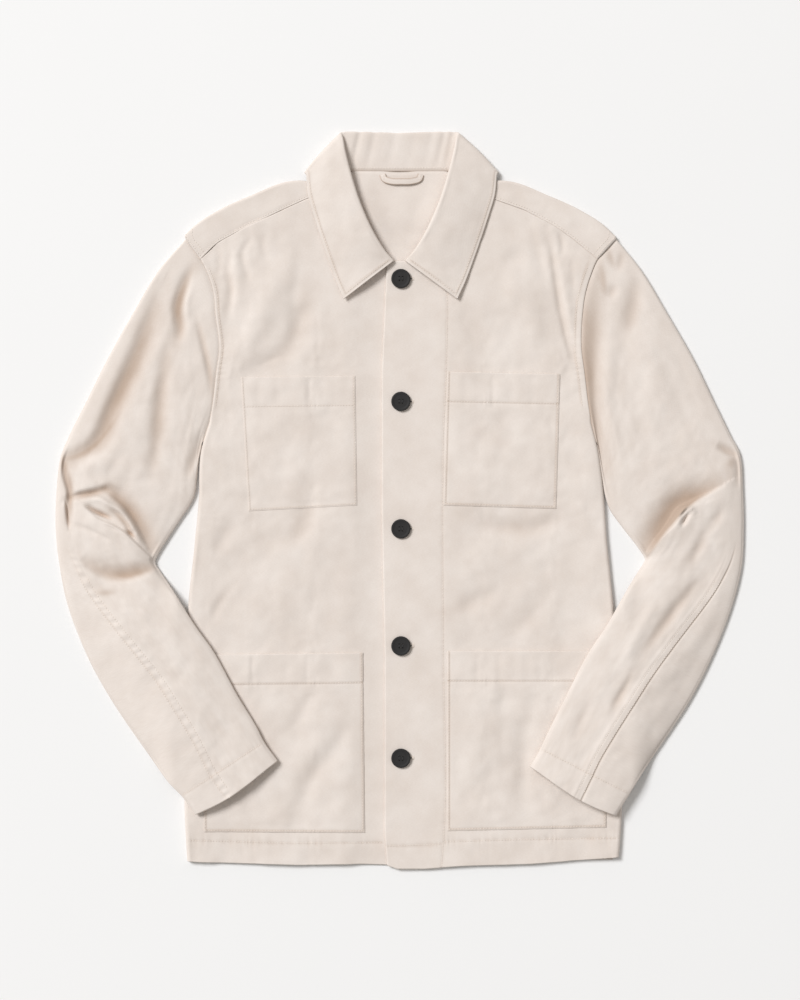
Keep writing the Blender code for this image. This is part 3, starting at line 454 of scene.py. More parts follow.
def graded(spans):
    """Stations 0, 1, 2... with so many steps in each span, closer together at both ends of a span."""
    parts = []
    for k, n in enumerate(spans):
        t = np.arange(n) / n
        parts.append(k + t - GRADE * np.sin(2 * np.pi * t) / (2 * np.pi))
    return np.concatenate(parts + [[len(spans)]])


def between(named, at):
    """Every point's value between the named rows of values, at its own station 0, 1, 2..."""
    low = np.minimum(at.astype(int), len(named) - 2)
    part, here = at - low, np.arange(len(at))
    return named[low, here] * (1 - part) + named[low + 1, here] * part


def even(spans, extra):
    """Stations 0, 1, 2... with so many even steps in each span, and some extra ones."""
    parts = [k + np.arange(n) / n for k, n in enumerate(spans)]
    return np.sort(np.concatenate(parts + [[len(spans)], extra]))


# ---------------------------------------------------------------- surfaces that the cloth follows
def side(y, hand):
    """Distance of the body's edge from the middle."""
    return hand * flow(y, SIDE[:, 0], SIDE[:, 1 if hand == RIGHT else 2])


def side_of(y, hands):
    """The same, where each point has its own hand."""
    return np.where(hands == RIGHT, side(y, RIGHT), side(y, LEFT))


def calm(x, y):
    """1 where folds may rise, 0 at the placket and under the collar."""
    placket = ease(x, -36, -58) + ease(x, 54, 74)
    collar_leaf = 1 - ease(y, 196, 214) * ease(np.abs(x), 118, 104)
    return placket * collar_leaf


def front_height(x, y, hand):
    """Upper face of a front, with its larger folds."""
    off_edge = side(y, hand) - hand * x
    height = FRONT_TOP + (SIDE_TOP - FRONT_TOP) * ease(off_edge, 45, 8) * ease(y, 100, 50)
    height = height + folds(FRONT_FOLDS[hand], x, y) * calm(x, y) * ease(off_edge, 3, 16)
    if hand == RIGHT:
        height = height + (UNDER_TOP - height) * ease(x, -62, -24)
    return height


def back_height(x, y):
    """Underside of the back: flat on the surface, over the tucked strips and over the collar's fall."""
    off_edge = side_of(y, np.where(x < 0, RIGHT, LEFT)) - np.abs(x)
    tuck = TUCK_BED * ease(off_edge, TUCK + 28, TUCK + 11) * ease(y, 100, 70)
    fall = COLLAR_BED * ease(y, 280, 300) * ease(np.abs(x), 130, 108)
    return np.maximum(tuck, fall)


def body_height(x, y, hand, reach=-36):
    """What a forearm lies on: the front with its pocket, falling to the surface outside the body."""
    inside = np.maximum(front_height(x, y, hand), FRONT_TOP) + GAP + POCKET_CLOTH + SLEEVE_CLEAR
    return inside * ease(side(y, hand) - hand * x, reach, -9)


# ---------------------------------------------------------------- building meshes
tops = {}         # search tree of each cloth piece, for what is sewn onto it


def quads(index):
    """Faces of a grid of point numbers."""
    return np.stack([index[:-1, :-1], index[1:, :-1], index[1:, 1:], index[:-1, 1:]], -1).reshape(-1, 4)


def place_object(name, data):
    """A new object in the scene."""
    thing = bpy.data.objects.new(name, data)
    bpy.context.scene.collection.objects.link(thing)
    return thing


def add_mesh(name, points, faces, material):
    """A smooth object from points in millimetres."""
    mesh = bpy.data.meshes.new(name)
    mesh.from_pydata(((np.asarray(points) - CENTRE) * MM).tolist(), [], faces)
    mesh.shade_smooth()
    mesh.materials.append(material)
    return place_object(name, mesh)


def bordered(outer, inner, ring):
    """The two grids with a shared border row round them, which rounds the edge."""
    def beyond(edge, inside, wall):
        return edge + unit(edge - inside) * wall * RIM

    middle, thick = (outer + inner) / 2, np.linalg.norm(outer - inner, axis=-1, keepdims=True)
    first = beyond(middle[:, :1], middle[:, 1:2], thick[:, :1])
    last = beyond(middle[:, -1:], middle[:, -2:-1], thick[:, -1:])
    outer, inner = (np.concatenate([first, grid, last], 1) for grid in (outer, inner))
    if not ring:
        middle, thick = (outer + inner) / 2, np.linalg.norm(outer - inner, axis=-1, keepdims=True)
        thick[:, 0], thick[:, -1] = thick[:, 1], thick[:, -2]
        first = beyond(middle[:1], middle[1:2], thick[:1])
        last = beyond(middle[-1:], middle[-2:-1], thick[-1:])
        outer, inner = (np.concatenate([first, grid, last]) for grid in (outer, inner))
    return outer, inner


def walls(keep, upper, lower):
    """Faces between two grids of point numbers, along the edges of the cells that are kept."""
    near, far = slice(None, -1), slice(1, None)
    beside = np.pad(keep, 1)
    faces = []
    for neighbour, one, two in (
            (beside[1:-1, :-2], (near, near), (far, near)), (beside[1:-1, 2:], (far, far), (near, far)),
            (beside[:-2, 1:-1], (near, far), (near, near)), (beside[2:, 1:-1], (far, near), (far, far))):
        rim = keep & ~neighbour
        faces.append(np.stack([upper[two][rim], upper[one][rim], lower[one][rim], lower[two][rim]], -1))
    return faces


def shell(name, outer, inner, flat, wear_and_shade, ring=False, keep=None):
    """A thin closed twill sheet between two grids of points. keep masks cells, ring joins the first axis."""
    if keep is None:
        outer, inner = bordered(outer, inner, ring)
        pad = ((0, 0) if ring else (1, 1), (1, 1))
        flat, wear_and_shade = np.pad(flat, pad + ((0, 0),), mode="edge"), np.pad(wear_and_shade, pad, mode="edge")
    rows, cols = outer.shape[:2]
    upper = np.arange(rows * cols).reshape(rows, cols)
    lower = upper + rows * cols
    if keep is None:
        lower[:, (0, -1)] = upper[:, (0, -1)]
        if ring:
            upper, lower = np.concatenate([upper, upper[:1]]), np.concatenate([lower, lower[:1]])
        else:
            lower[(0, -1), :] = upper[(0, -1), :]
        faces = np.concatenate([quads(upper), quads(lower)[:, ::-1]])
    else:
        above, below = (quads(index)[keep.ravel()] for index in (upper, lower))
        faces = np.concatenate([above, below[:, ::-1]] + walls(keep, upper, lower))
    used = np.unique(faces)
    place = np.full(2 * rows * cols, -1)
    place[used] = np.arange(len(used))
    points = np.concatenate([outer.reshape(-1, 3), inner.reshape(-1, 3)])[used]
    faces = place[faces].tolist()
    thing = add_mesh(name, points, faces, twill)
    cloth = np.zeros((len(used), 3), np.float32)
    cloth[:, :2] = np.concatenate([flat.reshape(-1, 2)] * 2)[used] * MM
    # Per point: seam wear and painted shade, which darken the cloth's colour
    wear_and_shade_values = np.concatenate([wear_and_shade.ravel()] * 2)[used].astype(np.float32)
    thing.data.attributes.new("cloth", "FLOAT_VECTOR", "POINT").data.foreach_set("vector", cloth.ravel())
    thing.data.attributes.new("wear_and_shade", "FLOAT", "POINT").data.foreach_set("value", wear_and_shade_values)
    tops[name] = BVHTree.FromPolygons(points.tolist(), faces)
    return thing


def capped(rows, sides):
    """Outward faces of a closed body of rings, which run anticlockwise seen from the last one."""
    index = np.arange(rows * sides).reshape(rows, sides)
    wrapped = np.concatenate([index, index[:, :1]], 1)
    return quads(wrapped)[:, ::-1].tolist() + [index[0][::-1].tolist(), index[-1].tolist()]


def tube(path, radius, sides):
    """Points and faces of a closed tube along a path."""
    path = np.asarray(path, float)
    ahead = unit(np.gradient(path, axis=0))
    up = np.array((0.0, 0.0, 1.0)) + 0.01 * ahead[:, [1, 2, 0]]
    across = unit(np.cross(ahead, up))
    lift = np.cross(ahead, across)
    angles = 2 * np.pi * np.arange(sides) / sides
    radius = np.broadcast_to(radius, len(path))[:, None, None]
    rings = path[:, None] + radius * (np.cos(angles)[None, :, None] * across[:, None]
                                      + np.sin(angles)[None, :, None] * lift[:, None])
    return rings.reshape(-1, 3), capped(len(path), sides)


def gather(name, parts, material):
    """One object from many small closed forms."""
    points, faces, start = [], [], 0
    for some_points, some_faces in parts:
        points.append(some_points)
        faces += [[start + k for k in face] for face in some_faces]
        start += len(some_points)
    return add_mesh(name, np.concatenate(points), faces, material)


def sewn(piece, lines, pitch=STITCH_PITCH):
    """Stitches along lines on a piece's upper face."""
    parts = []
    for line in lines:
        path = smooth(line, 0.5)
        run = run_along(path)
        for start in np.arange(0.4, run[-1] - STITCH_LENGTH, pitch):
            at = start + STITCH_LENGTH * np.array((0.0, 0.3, 0.7, 1.0))
            px, py = np.interp(at, run, path[:, 0]), np.interp(at, run, path[:, 1])
            hits = [tops[piece].ray_cast(Vector((u, v, 60)), Vector((0, 0, -1)))[0] for u, v in zip(px, py)]
            if None in hits:
                continue
            points = np.array([tuple(hit) for hit in hits])
            points[:, 2] += np.array((-0.25, 0.12, 0.12, -0.25))
            parts.append(tube(points, THREAD_RADIUS * np.array((0.6, 1, 1, 0.6)), 4))
    return parts


# ---------------------------------------------------------------- materials
def new_material(name):
    """A material, a function that adds a node to it, and one that sets its shader's inputs."""
    material = bpy.data.materials.new(name)
    material.use_nodes = True
    tree = material.node_tree

    def fill(target, inputs):
        for key, value in inputs.items():
            if isinstance(value, bpy.types.NodeSocket):
                tree.links.new(value, target.inputs[key])
            else:
                target.inputs[key].default_value = value

    def node(kind, inputs=None, **settings):
        made = tree.nodes.new(kind)
        for key, value in settings.items():
            setattr(made, key, value)
        fill(made, inputs or {})
        return made

    return material, node, lambda inputs: fill(tree.nodes["Principled BSDF"], inputs)


TWILL_COLOUR = (0.842, 0.775, 0.724, 1)
# Colour towards which seam wear and painted shade darken the cloth
TWILL_DARK = (0.500, 0.385, 0.305, 1)
TWILL_PITCH = 0.0009    # metres between the diagonal ribs


def twill_material(name):
    """Washed cotton twill: fine diagonal ribs, uneven yarn, and darker where the cloth is worn at the seams
    and where shade is painted into folds, grooves and under edges.
    """
    material, node, shader = new_material(name)
    place = node("ShaderNodeAttribute", attribute_name="cloth").outputs["Vector"]
    # Seam wear and painted shade, carried on the meshes' points
    wear_and_shade = node("ShaderNodeAttribute", attribute_name="wear_and_shade").outputs["Fac"]
    blotch = node("ShaderNodeTexNoise", {"Vector": place, "Scale": 22.0, "Detail": 4.0, "Roughness": 0.6})
    yarn_place = node("ShaderNodeMapping", {"Vector": place, "Scale": (420.0, 2400.0, 1.0)})
    yarn = node("ShaderNodeTexNoise", {"Vector": yarn_place.outputs[0], "Scale": 1.0, "Detail": 2.0})
    ribs_place = node("ShaderNodeMapping", {"Vector": place, "Rotation": (0, 0, 1.1)})
    ribs = node("ShaderNodeTexWave", {"Vector": ribs_place.outputs[0], "Scale": 1 / TWILL_PITCH / 6.283,
                                      "Distortion": 1.2, "Detail": 2.0, "Detail Scale": 1.5})
    shade = node("ShaderNodeMath", {0: blotch.outputs["Fac"], 1: 0.55}, operation="MULTIPLY")
    fine = node("ShaderNodeMath", {0: yarn.outputs["Fac"], 1: 0.35, 2: shade.outputs[0]},
                operation="MULTIPLY_ADD")
    total = node("ShaderNodeMath", {0: wear_and_shade, 1: 1.0, 2: fine.outputs[0]}, operation="MULTIPLY_ADD")
    level = node("ShaderNodeMapRange", {"Value": total.outputs[0], "From Min": 0.25, "From Max": 1.25})
    mix = node("ShaderNodeMix", {0: level.outputs[0], 6: TWILL_COLOUR, 7: TWILL_DARK}, data_type="RGBA")
    height = node("ShaderNodeMath", {0: ribs.outputs["Fac"], 1: 0.7, 2: yarn.outputs["Fac"]},
                  operation="MULTIPLY_ADD")
    lift = node("ShaderNodeBump", {"Height": height.outputs[0], "Strength": 0.10, "Distance": 0.0006})
    rough = node("ShaderNodeMapRange", {"Value": blotch.outputs["Fac"], "To Min": 0.82, "To Max": 0.95})
    shader({"Base Color": mix.outputs[2], "Normal": lift.outputs["Normal"], "Roughness": rough.outputs[0],
            "Specular IOR Level": 0.25, "Sheen Weight": 0.12, "Sheen Roughness": 0.6})
    return material


def uneven_material(name, colour, other, scale, roughness, bump, specular=0.5):
    """A slightly uneven surface, for buttons, thread and the floor."""
    material, node, shader = new_material(name)
    place = node("ShaderNodeTexCoord").outputs["Object"]
    noise = node("ShaderNodeTexNoise", {"Vector": place, "Scale": scale, "Detail": 3.0})
    mix = node("ShaderNodeMix", {0: noise.outputs["Fac"], 6: (*colour, 1), 7: (*other, 1)}, data_type="RGBA")
    rough = node("ShaderNodeMapRange", {"Value": noise.outputs["Fac"], "To Min": roughness - 0.06,
                                        "To Max": roughness + 0.06})
    lift = node("ShaderNodeBump", {"Height": noise.outputs["Fac"], "Strength": bump, "Distance": 0.0002})
    shader({"Base Color": mix.outputs[2], "Roughness": rough.outputs[0], "Normal": lift.outputs["Normal"],
            "Specular IOR Level": specular})
    return material


twill = twill_material("twill_cloth")
thread = uneven_material("sewing_thread", (0.86, 0.78, 0.71), (0.78, 0.70, 0.63), 900, 0.8, 0.3)
black_thread = uneven_material("button_thread", (0.02, 0.02, 0.02), (0.05, 0.05, 0.05), 900, 0.8, 0.3)
resin = uneven_material("button_resin_black", (0.016, 0.015, 0.015), (0.026, 0.025, 0.025), 260, 0.62, 0.15,
                        specular=0.3)


# ---------------------------------------------------------------- fronts and pockets
# Steps between the named columns (edge, facing, inner, neck point, chest, hip, side) and the rows
FRONT_ACROSS = (26, 5, 18, 32, 18, 9)
FRONT_UP = (10, 7, 62, 14, 62, 44, 16)
FRONT_HEAD_ROWS = 72
COLUMN_NAMES = ("edge", "facing", "inner", "neck", "chest", "hip", "side")
column_of = dict(zip(COLUMN_NAMES, np.cumsum((0,) + FRONT_ACROSS)))
row_of = dict(zip(("hem", *ROWS[LEFT]), np.cumsum((0,) + FRONT_UP)))
# How clearly a pocket's edges show, where the cloth puckers under its band, seed of its crumple
POCKETS = {
    ("chest", RIGHT): (0.26, (-150, -128, -96), 55),
    ("chest", LEFT): (0.72, (69, 99, 120, 141), 54),
    ("hip", RIGHT): (0.85, (-156, -120, -98, -70), 53),
    ("hip", LEFT): (0.8, (106, 122, 135, 149, 82), 52),
}


def fold_turn(y):
    """How far the side edge is turned under, in radians."""
    return np.pi * (0.1 + 0.9 * ease(y, 96, 58))


def tuck_length(y):
    """Width of the strip turned under."""
    return 0.6 + (TUCK - 0.6) * ease(y, 50, -20)


def side_inset(y):
    """How far inside the edge the turn begins."""
    turn = fold_turn(y)
    return FOLD_RADIUS * np.sin(np.minimum(turn, np.pi / 2)) + tuck_length(y) * np.maximum(np.cos(turn), 0)


def front_plan(hand):
    """Points of a front seen from above: rows up the garment, columns outwards."""
    columns, head = COLUMNS[hand], FRONT_HEAD[hand]
    neck_x = head[np.argmax(head[:, 1]), 0]
    across = graded(FRONT_ACROSS)

    def column(y):
        """Distance from the middle of every column, at the heights y."""
        named = {key: np.interp(y, columns["y"], at) for key, at in columns.items()}
        named["neck"] = np.full(np.shape(y), neck_x)
        named["side"] = side(y, hand) - side_inset(y)
        return between(np.array([named[key] for key in COLUMN_NAMES]), across)

    inner_y, outer_y = (np.array([HEM] + [pair[k] for pair in ROWS[hand].values()]) for k in (0, 1))
    plan = []
    for level in graded(FRONT_UP):
        y0, y1 = (np.interp(level, range(len(heights)), heights) for heights in (inner_y, outer_y))
        y = np.full(len(across), y0)
        for _ in range(3):
            x = column(y)
            inner_x = x[column_of["inner"]]
            y = y0 + (y1 - y0) * np.clip((x - inner_x) / (x[-1] - inner_x), 0, 1)
            if level < 1:
                y = y * level + on_line(FRONT_HEM[hand], x) * (1 - level)
        plan.append(np.stack([x, y], -1))
    foot = plan[-1]
    top_x = column(np.full(len(across), columns["y"][-1]))
    hip = column_of["hip"]
    top_x[hip:] = np.linspace(top_x[hip], side(ARMHOLE_TOP, hand), FRONT_ACROSS[-1] + 1)
    top = np.stack([top_x, on_line(head, top_x) + UNDER_SEAM], -1)
    weight = ((foot[:, 0] - foot[0, 0]) / (foot[-1, 0] - foot[0, 0]))[:, None]
    for part in graded((FRONT_HEAD_ROWS,))[1:]:
        row = foot * (1 - part) + top * part
        edge_y, side_y = row[0, 1], row[-1, 1]
        edge_x = np.interp(edge_y, columns["y"], columns["edge"])
        side_x = side(side_y, hand) - side_inset(side_y)
        bend = (1 - weight) * (edge_x - row[0, 0]) + weight * (side_x - row[-1, 0])
        plan.append(row + np.concatenate([bend, np.zeros_like(bend)], -1))
    return np.array(plan)


def front_face(x, y, off_edge, hand):
    """Height of a front's upper face with all its relief, and its wear and painted shade."""
    stitched = seams(FRONT_SEAMS[hand], x, y)
    # Painted shade: the deeper a fold's trough, the darker the cloth is drawn
    painted_fold_shade = np.clip(-folds(FRONT_FOLDS[hand], x, y) / 7, 0, 1)
    free, loose = ease(off_edge, 0, 10), calm(x, y)
    armhole = ease(y, 92, ARMHOLE_FOOT)
    topstitch = off_edge - ARMHOLE_STITCH[hand]
    top = front_height(x, y, hand) + crumple(x, y, 11 + hand) * free * (0.35 + 0.65 * loose) + stitched
    top += armhole * (0.45 * ease(topstitch, 1.7, -0.3) - 0.35 * ridge(topstitch, 1.1))
    top += armhole * 0.22 * ripple(y, 6.7, 2.3, 0.13) * ridge(topstitch, 4.0)
    top += STREAK * mottle(x, y * 0.25, 8, 41 + hand) * free * ease(y, 60, 180) * loose
    head_y = on_line(FRONT_HEAD[hand], np.abs(x))
    top -= UNDER_DROP * ease(y, head_y - 0.6, head_y + 0.5) * ease(np.abs(x), NECK_POINT - 6, NECK_POINT)
    # Darker in the seams' grooves and at the armhole's topstitch, as wear and painted shade, and painted
    # shade in the folds' troughs
    wear_and_shade = np.clip(-stitched * 0.5 + 0.45 * painted_fold_shade, 0, 0.8) + 0.35 * armhole * ridge(topstitch, 1.0)
    return top, wear_and_shade


def front(name, hand):
    """A front panel, with its side edge turned under the body. Returns its points for the pockets too."""
    plan = front_plan(hand)
    x, y = plan[..., 0] * hand, plan[..., 1]
    top, wear_and_shade = front_face(x, y, side(y, hand) - hand * x, hand)
    thick = np.full(x.shape, CLOTH)
    if hand == LEFT:
        thick[:, :column_of["facing"] + 1] = FACING
    outer = np.stack([x, y, top], -1)
    inner = outer - np.stack([0 * x, 0 * x, thick], -1)
    turn, length = fold_turn(y[:, -1]), tuck_length(y[:, -1])
    down = np.maximum(top[:, -1], FRONT_TOP - 2) / 2
    sheets = []
    for sheet, radius in ((outer, down), (inner, down - CLOTH)):
        added = []
        for step in range(1, FOLD_STEPS + 1):
            angle = turn * step / FOLD_STEPS
            added.append(np.stack([x[:, -1] + hand * radius * np.sin(angle), y[:, -1],
                                   top[:, -1] - down + radius * np.cos(angle)], -1))
        rolled = added[-1]
        ahead = np.stack([hand * np.cos(turn), 0 * turn, -np.sin(turn)], -1)
        for step in range(1, TUCK_STEPS + 1):
            added.append(rolled + ahead * (length * step / TUCK_STEPS)[:, None])
        sheets.append(np.concatenate([sheet, np.stack(added, 1)], 1))
    outer, inner = sheets
    outer[..., 2] = np.maximum(outer[..., 2], 0)
    wear_and_shade = np.pad(wear_and_shade, ((0, 0), (0, FOLD_STEPS + TUCK_STEPS)))
    way = slice(None, None, -hand)
    return shell(name, outer[way], inner[way], outer[way, :, :2], wear_and_shade[way]), plan, top


def pocket(name, plan, top, where, hand):
    """A patch pocket from the front's own points, its band stitched across. Returns its stitches too."""
    press, places, seed = POCKETS[where, hand]
    cut = (slice(row_of[where + "_bottom"], row_of[where + "_top"] + 1),
           slice(column_of["inner"], column_of[where] + 1))
    part, base = plan[cut], top[cut]
    x, y = part[..., 0] * hand, part[..., 1]
    from_foot, mouth = np.abs(y - y[:1]), np.abs(y - y[-1:])
    edge = np.minimum(np.minimum(np.abs(x - x[:, :1]), np.abs(x - x[:, -1:])), from_foot)
    band = y - (y[-1:] - POCKET_BAND)
    rise = press + 0.5 * ease(edge, 2, 18)
    rise -= 0.2 * ease(edge, 1.2, 0.0) + 0.28 * ridge(edge - POCKET_EDGE - 0.4, 0.9)
    rise += press * (0.3 * ease(band, -0.5, 1.5) - 0.35 * ridge(band + 0.6, 1.1))
    rise += 0.16 * ripple(x, 4.7, 2.2, 0.19) * (np.exp(-np.abs(band) / 4) + np.exp(-from_foot / 4))
    rise += 0.12 * ripple(y, 6.1, 2.2, 0.13) * np.exp(-np.abs(edge) / 4) * ease(from_foot, 2, 8)
    for at in places:
        rise -= 0.5 * ridge(x - at, 2.4) * ease(band, -12, 4) * ease(mouth, 0, 6)
    rise += crumple(x, y, seed) * 0.5 * ease(edge, 0, 12)
    lower = np.stack([x, y, base + POCKET_LIFT], -1)
    upper = np.stack([x, y, base + POCKET_LIFT + np.maximum(rise, 0.3)], -1)
    # Darker along the stitched edge and the band's seam, as wear and painted shade in their grooves
    wear_and_shade = (0.1 + 0.45 * press) * ridge(edge - POCKET_EDGE, 0.9) + 0.35 * press * ridge(band, 0.9)
    way = slice(None, None, -hand)
    piece = shell(name, upper[way], lower[way], upper[way, :, :2], wear_and_shade[way])
    rim = upper[..., :2]
    inside = np.array((hand * POCKET_EDGE, 0))
    lines = (rim[1:-1, 0][::-1] + inside, rim[0, 1:-1] + (0, POCKET_EDGE), rim[1:-1, -1] - inside,
             rim[-1, 2:-2] - (0, POCKET_BAND))
    return piece, sewn(name, lines)


# ---------------------------------------------------------------- back
BACK_ACROSS = (10, 5, 22, 30, 30, 22, 5, 10)    # steps between its columns, from side to side
BACK_UP = (60, 62)                              # rows below and above the foot of the armhole


def shoulder_strip(outer, inner, seam_x, seam_y, hand):
    """Both grids of the back carried over the shoulder fold and down to the seam on the fronts."""
    x, head_y, head_z = outer[-1].T
    radius = (SHOULDER_TOP - head_z) / 2
    upper, lower = [], []
    for step in range(1, SHOULDER_FOLD_STEPS + 1):
        angle = np.pi * step / SHOULDER_FOLD_STEPS
        for into, r in ((upper, radius), (lower, radius - CLOTH)):
            into.append(np.stack([x, head_y + r * np.sin(angle), head_z + radius - r * np.cos(angle)], -1))
    head_x = x * hand
    width = np.hypot(seam_x - head_x, seam_y - head_y)
    for part in graded((SHOULDER_STRIP_STEPS,))[1:]:
        px = (head_x + (seam_x - head_x) * part) * hand
        py = head_y + (seam_y - head_y) * part
        off_seam = (1 - part) * width
        height = SHOULDER_TOP + (FRONT_TOP - SHOULDER_TOP) * part + 0 * px
        height = height + crumple(px, py, 53) * swell(part, 0.7) * ease(np.abs(px), NECK_POINT + 2, 104)
        wave = ripple(px, 6.3, 2.0, 0.17)
        height += 0.12 * wave * np.exp(-off_seam / 5) - 0.3 * ridge(off_seam - 2.2, 1.0)
        upper.append(np.stack([px, py, height], -1))
        lower.append(upper[-1] - (0, 0, CLOTH))
    return np.concatenate([outer, upper]), np.concatenate([inner, lower])


def back(name):
    """The back, which comes over the shoulders as a strip to the fronts."""
    outermost = len(BACK_ACROSS) / 2
    across = graded(BACK_ACROSS) - outermost
    hand = np.where(across < 0, RIGHT, LEFT)
    share = np.abs(across)
    is_shoulder = share >= 1

    def columns(out):
        named = np.stack([0 * out, 0 * out + NECK_POINT, out - TUCK - 26, out - TUCK - 4, out])
        return between(named, share)

    def edge(y):
        return side_of(y, hand) - (0.2 + 6.0 * ease(y, ARMHOLE_FOOT, 84))

    plan = []
    for part in np.arange(BACK_UP[0] + 1) / BACK_UP[0]:
        level = np.full(len(share), (HEM + 2) * (1 - part) + ARMHOLE_FOOT * part)
        plan.append(np.stack([columns(edge(level)), level], -1))
    foot = plan[-1]
    corner = side_of(SHOULDER_CORNER, hand) - 0.4
    head_x = columns(corner)
    edge_y = flow(head_x, BACK_HEAD[:, 0], BACK_HEAD[:, 1])
    radius = (SHOULDER_TOP - back_height(head_x * hand, edge_y)) / 2
    head = np.stack([head_x, edge_y - np.where(is_shoulder, radius, 0)], -1)
    weight = np.clip((share - 1) / (outermost - 1), 0, 1)
    for part in np.arange(1, BACK_UP[1] + 1) / BACK_UP[1]:
        line = foot * (1 - part) + head * part
        bend = edge(line[:, 1]) - line[:, 0]
        line[:, 0] += np.where(hand == RIGHT, bend[0], bend[-1]) * weight
        plan.append(line)
    plan = np.array(plan)
    x, y = plan[..., 0] * hand, plan[..., 1]
    x[-1] = head_x * hand
    neck = ease(np.abs(x), 84, 60) * ease(y, 235, 262) * ease(y, 348, 338)
    z = back_height(x, y) + np.maximum(folds(BACK_FOLDS, x, y) + 0.3 * crumple(x, y, 71), 0) * neck
    outer = np.stack([x, y, z], -1)
    seam_side = side_of(ARMHOLE_TOP, hand) + 0.2
    seam_x = NECK_POINT + (head_x - NECK_POINT) * (seam_side - NECK_POINT) / (corner - NECK_POINT)
    seam_x = np.where(is_shoulder, seam_x, head_x)
    seam_y = np.where(hand == RIGHT, on_line(FRONT_HEAD[RIGHT], seam_x), on_line(FRONT_HEAD[LEFT], seam_x))
    outer, inner = shoulder_strip(outer, outer + (0, 0, CLOTH), seam_x, seam_y, hand)
    keep = np.ones((outer.shape[0] - 1, outer.shape[1] - 1), bool)
    middle = (share[:-1] < 1 - 1e-6) | (share[1:] < 1 - 1e-6)
    keep[len(plan) - 1:, middle] = False
    return shell(name, outer, inner, outer[..., :2], np.zeros(outer.shape[:2]), keep=keep)


def shoulder_stitches(hand):
    """Stitches on the back's strip: along the shoulder seam, and in two rows along the armhole."""
    seam_x = np.arange(NECK_POINT + 4, side(ARMHOLE_TOP, hand) - 4, 4.0)
    lines = [np.stack([hand * seam_x, on_line(FRONT_HEAD[hand], seam_x) + SHOULDER_STITCH], -1)]
    for inside in (2.0, 8.2):
        heights = np.arange(ARMHOLE_TOP + 2 + inside * 0.3, 296, 4.0)
        lines.append(np.stack([hand * (side(heights, hand) - inside), heights], -1))
    return sewn("back_cloth", lines)


# ---------------------------------------------------------------- sleeves
SLEEVE_RINGS = (20, 18, 18, 18, 22, 22, 24, 26, 28, 28, 24, 22, 20, 18, 10, 14)
SLEEVE_TOP = (32, 72)          # steps across the upper layer, outside and inside the seam
# The long seam's place across the upper layer, as a share from the outer edge, at these sections
SEAM_STATIONS = (0.0, 6.0, 7.6, 8.4, 9.5, 11, 13, 15, 16)
SEAM_SHARE = {
    LEFT: (0.05, 0.05, 0.05, 0.07, 0.18, 0.362, 0.424, 0.41, 0.385),
    RIGHT: (0.06, 0.06, 0.065, 0.09, 0.20, 0.387, 0.445, 0.36, 0.355),
}
SEAM_ROWS = {LEFT: (0.9, 7.2), RIGHT: (-1.2, 7.0)}     # its two rows of stitches, from the seam


def seam_relief(off_seam, to_cuff, hand):
    """Relief of the long seam: a raised edge on the left sleeve, puckers on the right one."""
    first, second = SEAM_ROWS[hand]
    if hand == LEFT:
        return (0.55 * ease(off_seam, -0.2, 1.2) * ease(off_seam, 13, 8)
                - 0.5 * ridge(off_seam + 0.6, 1.2) - 0.25 * ridge(off_seam - second, 1.1))
    return (0.45 * ripple(to_cuff, 8.6, 2.1, 0.11) * ridge(off_seam - 3, 4.6)
            - 0.2 * ridge(off_seam - first, 1.0) - 0.2 * ridge(off_seam - second, 1.0))


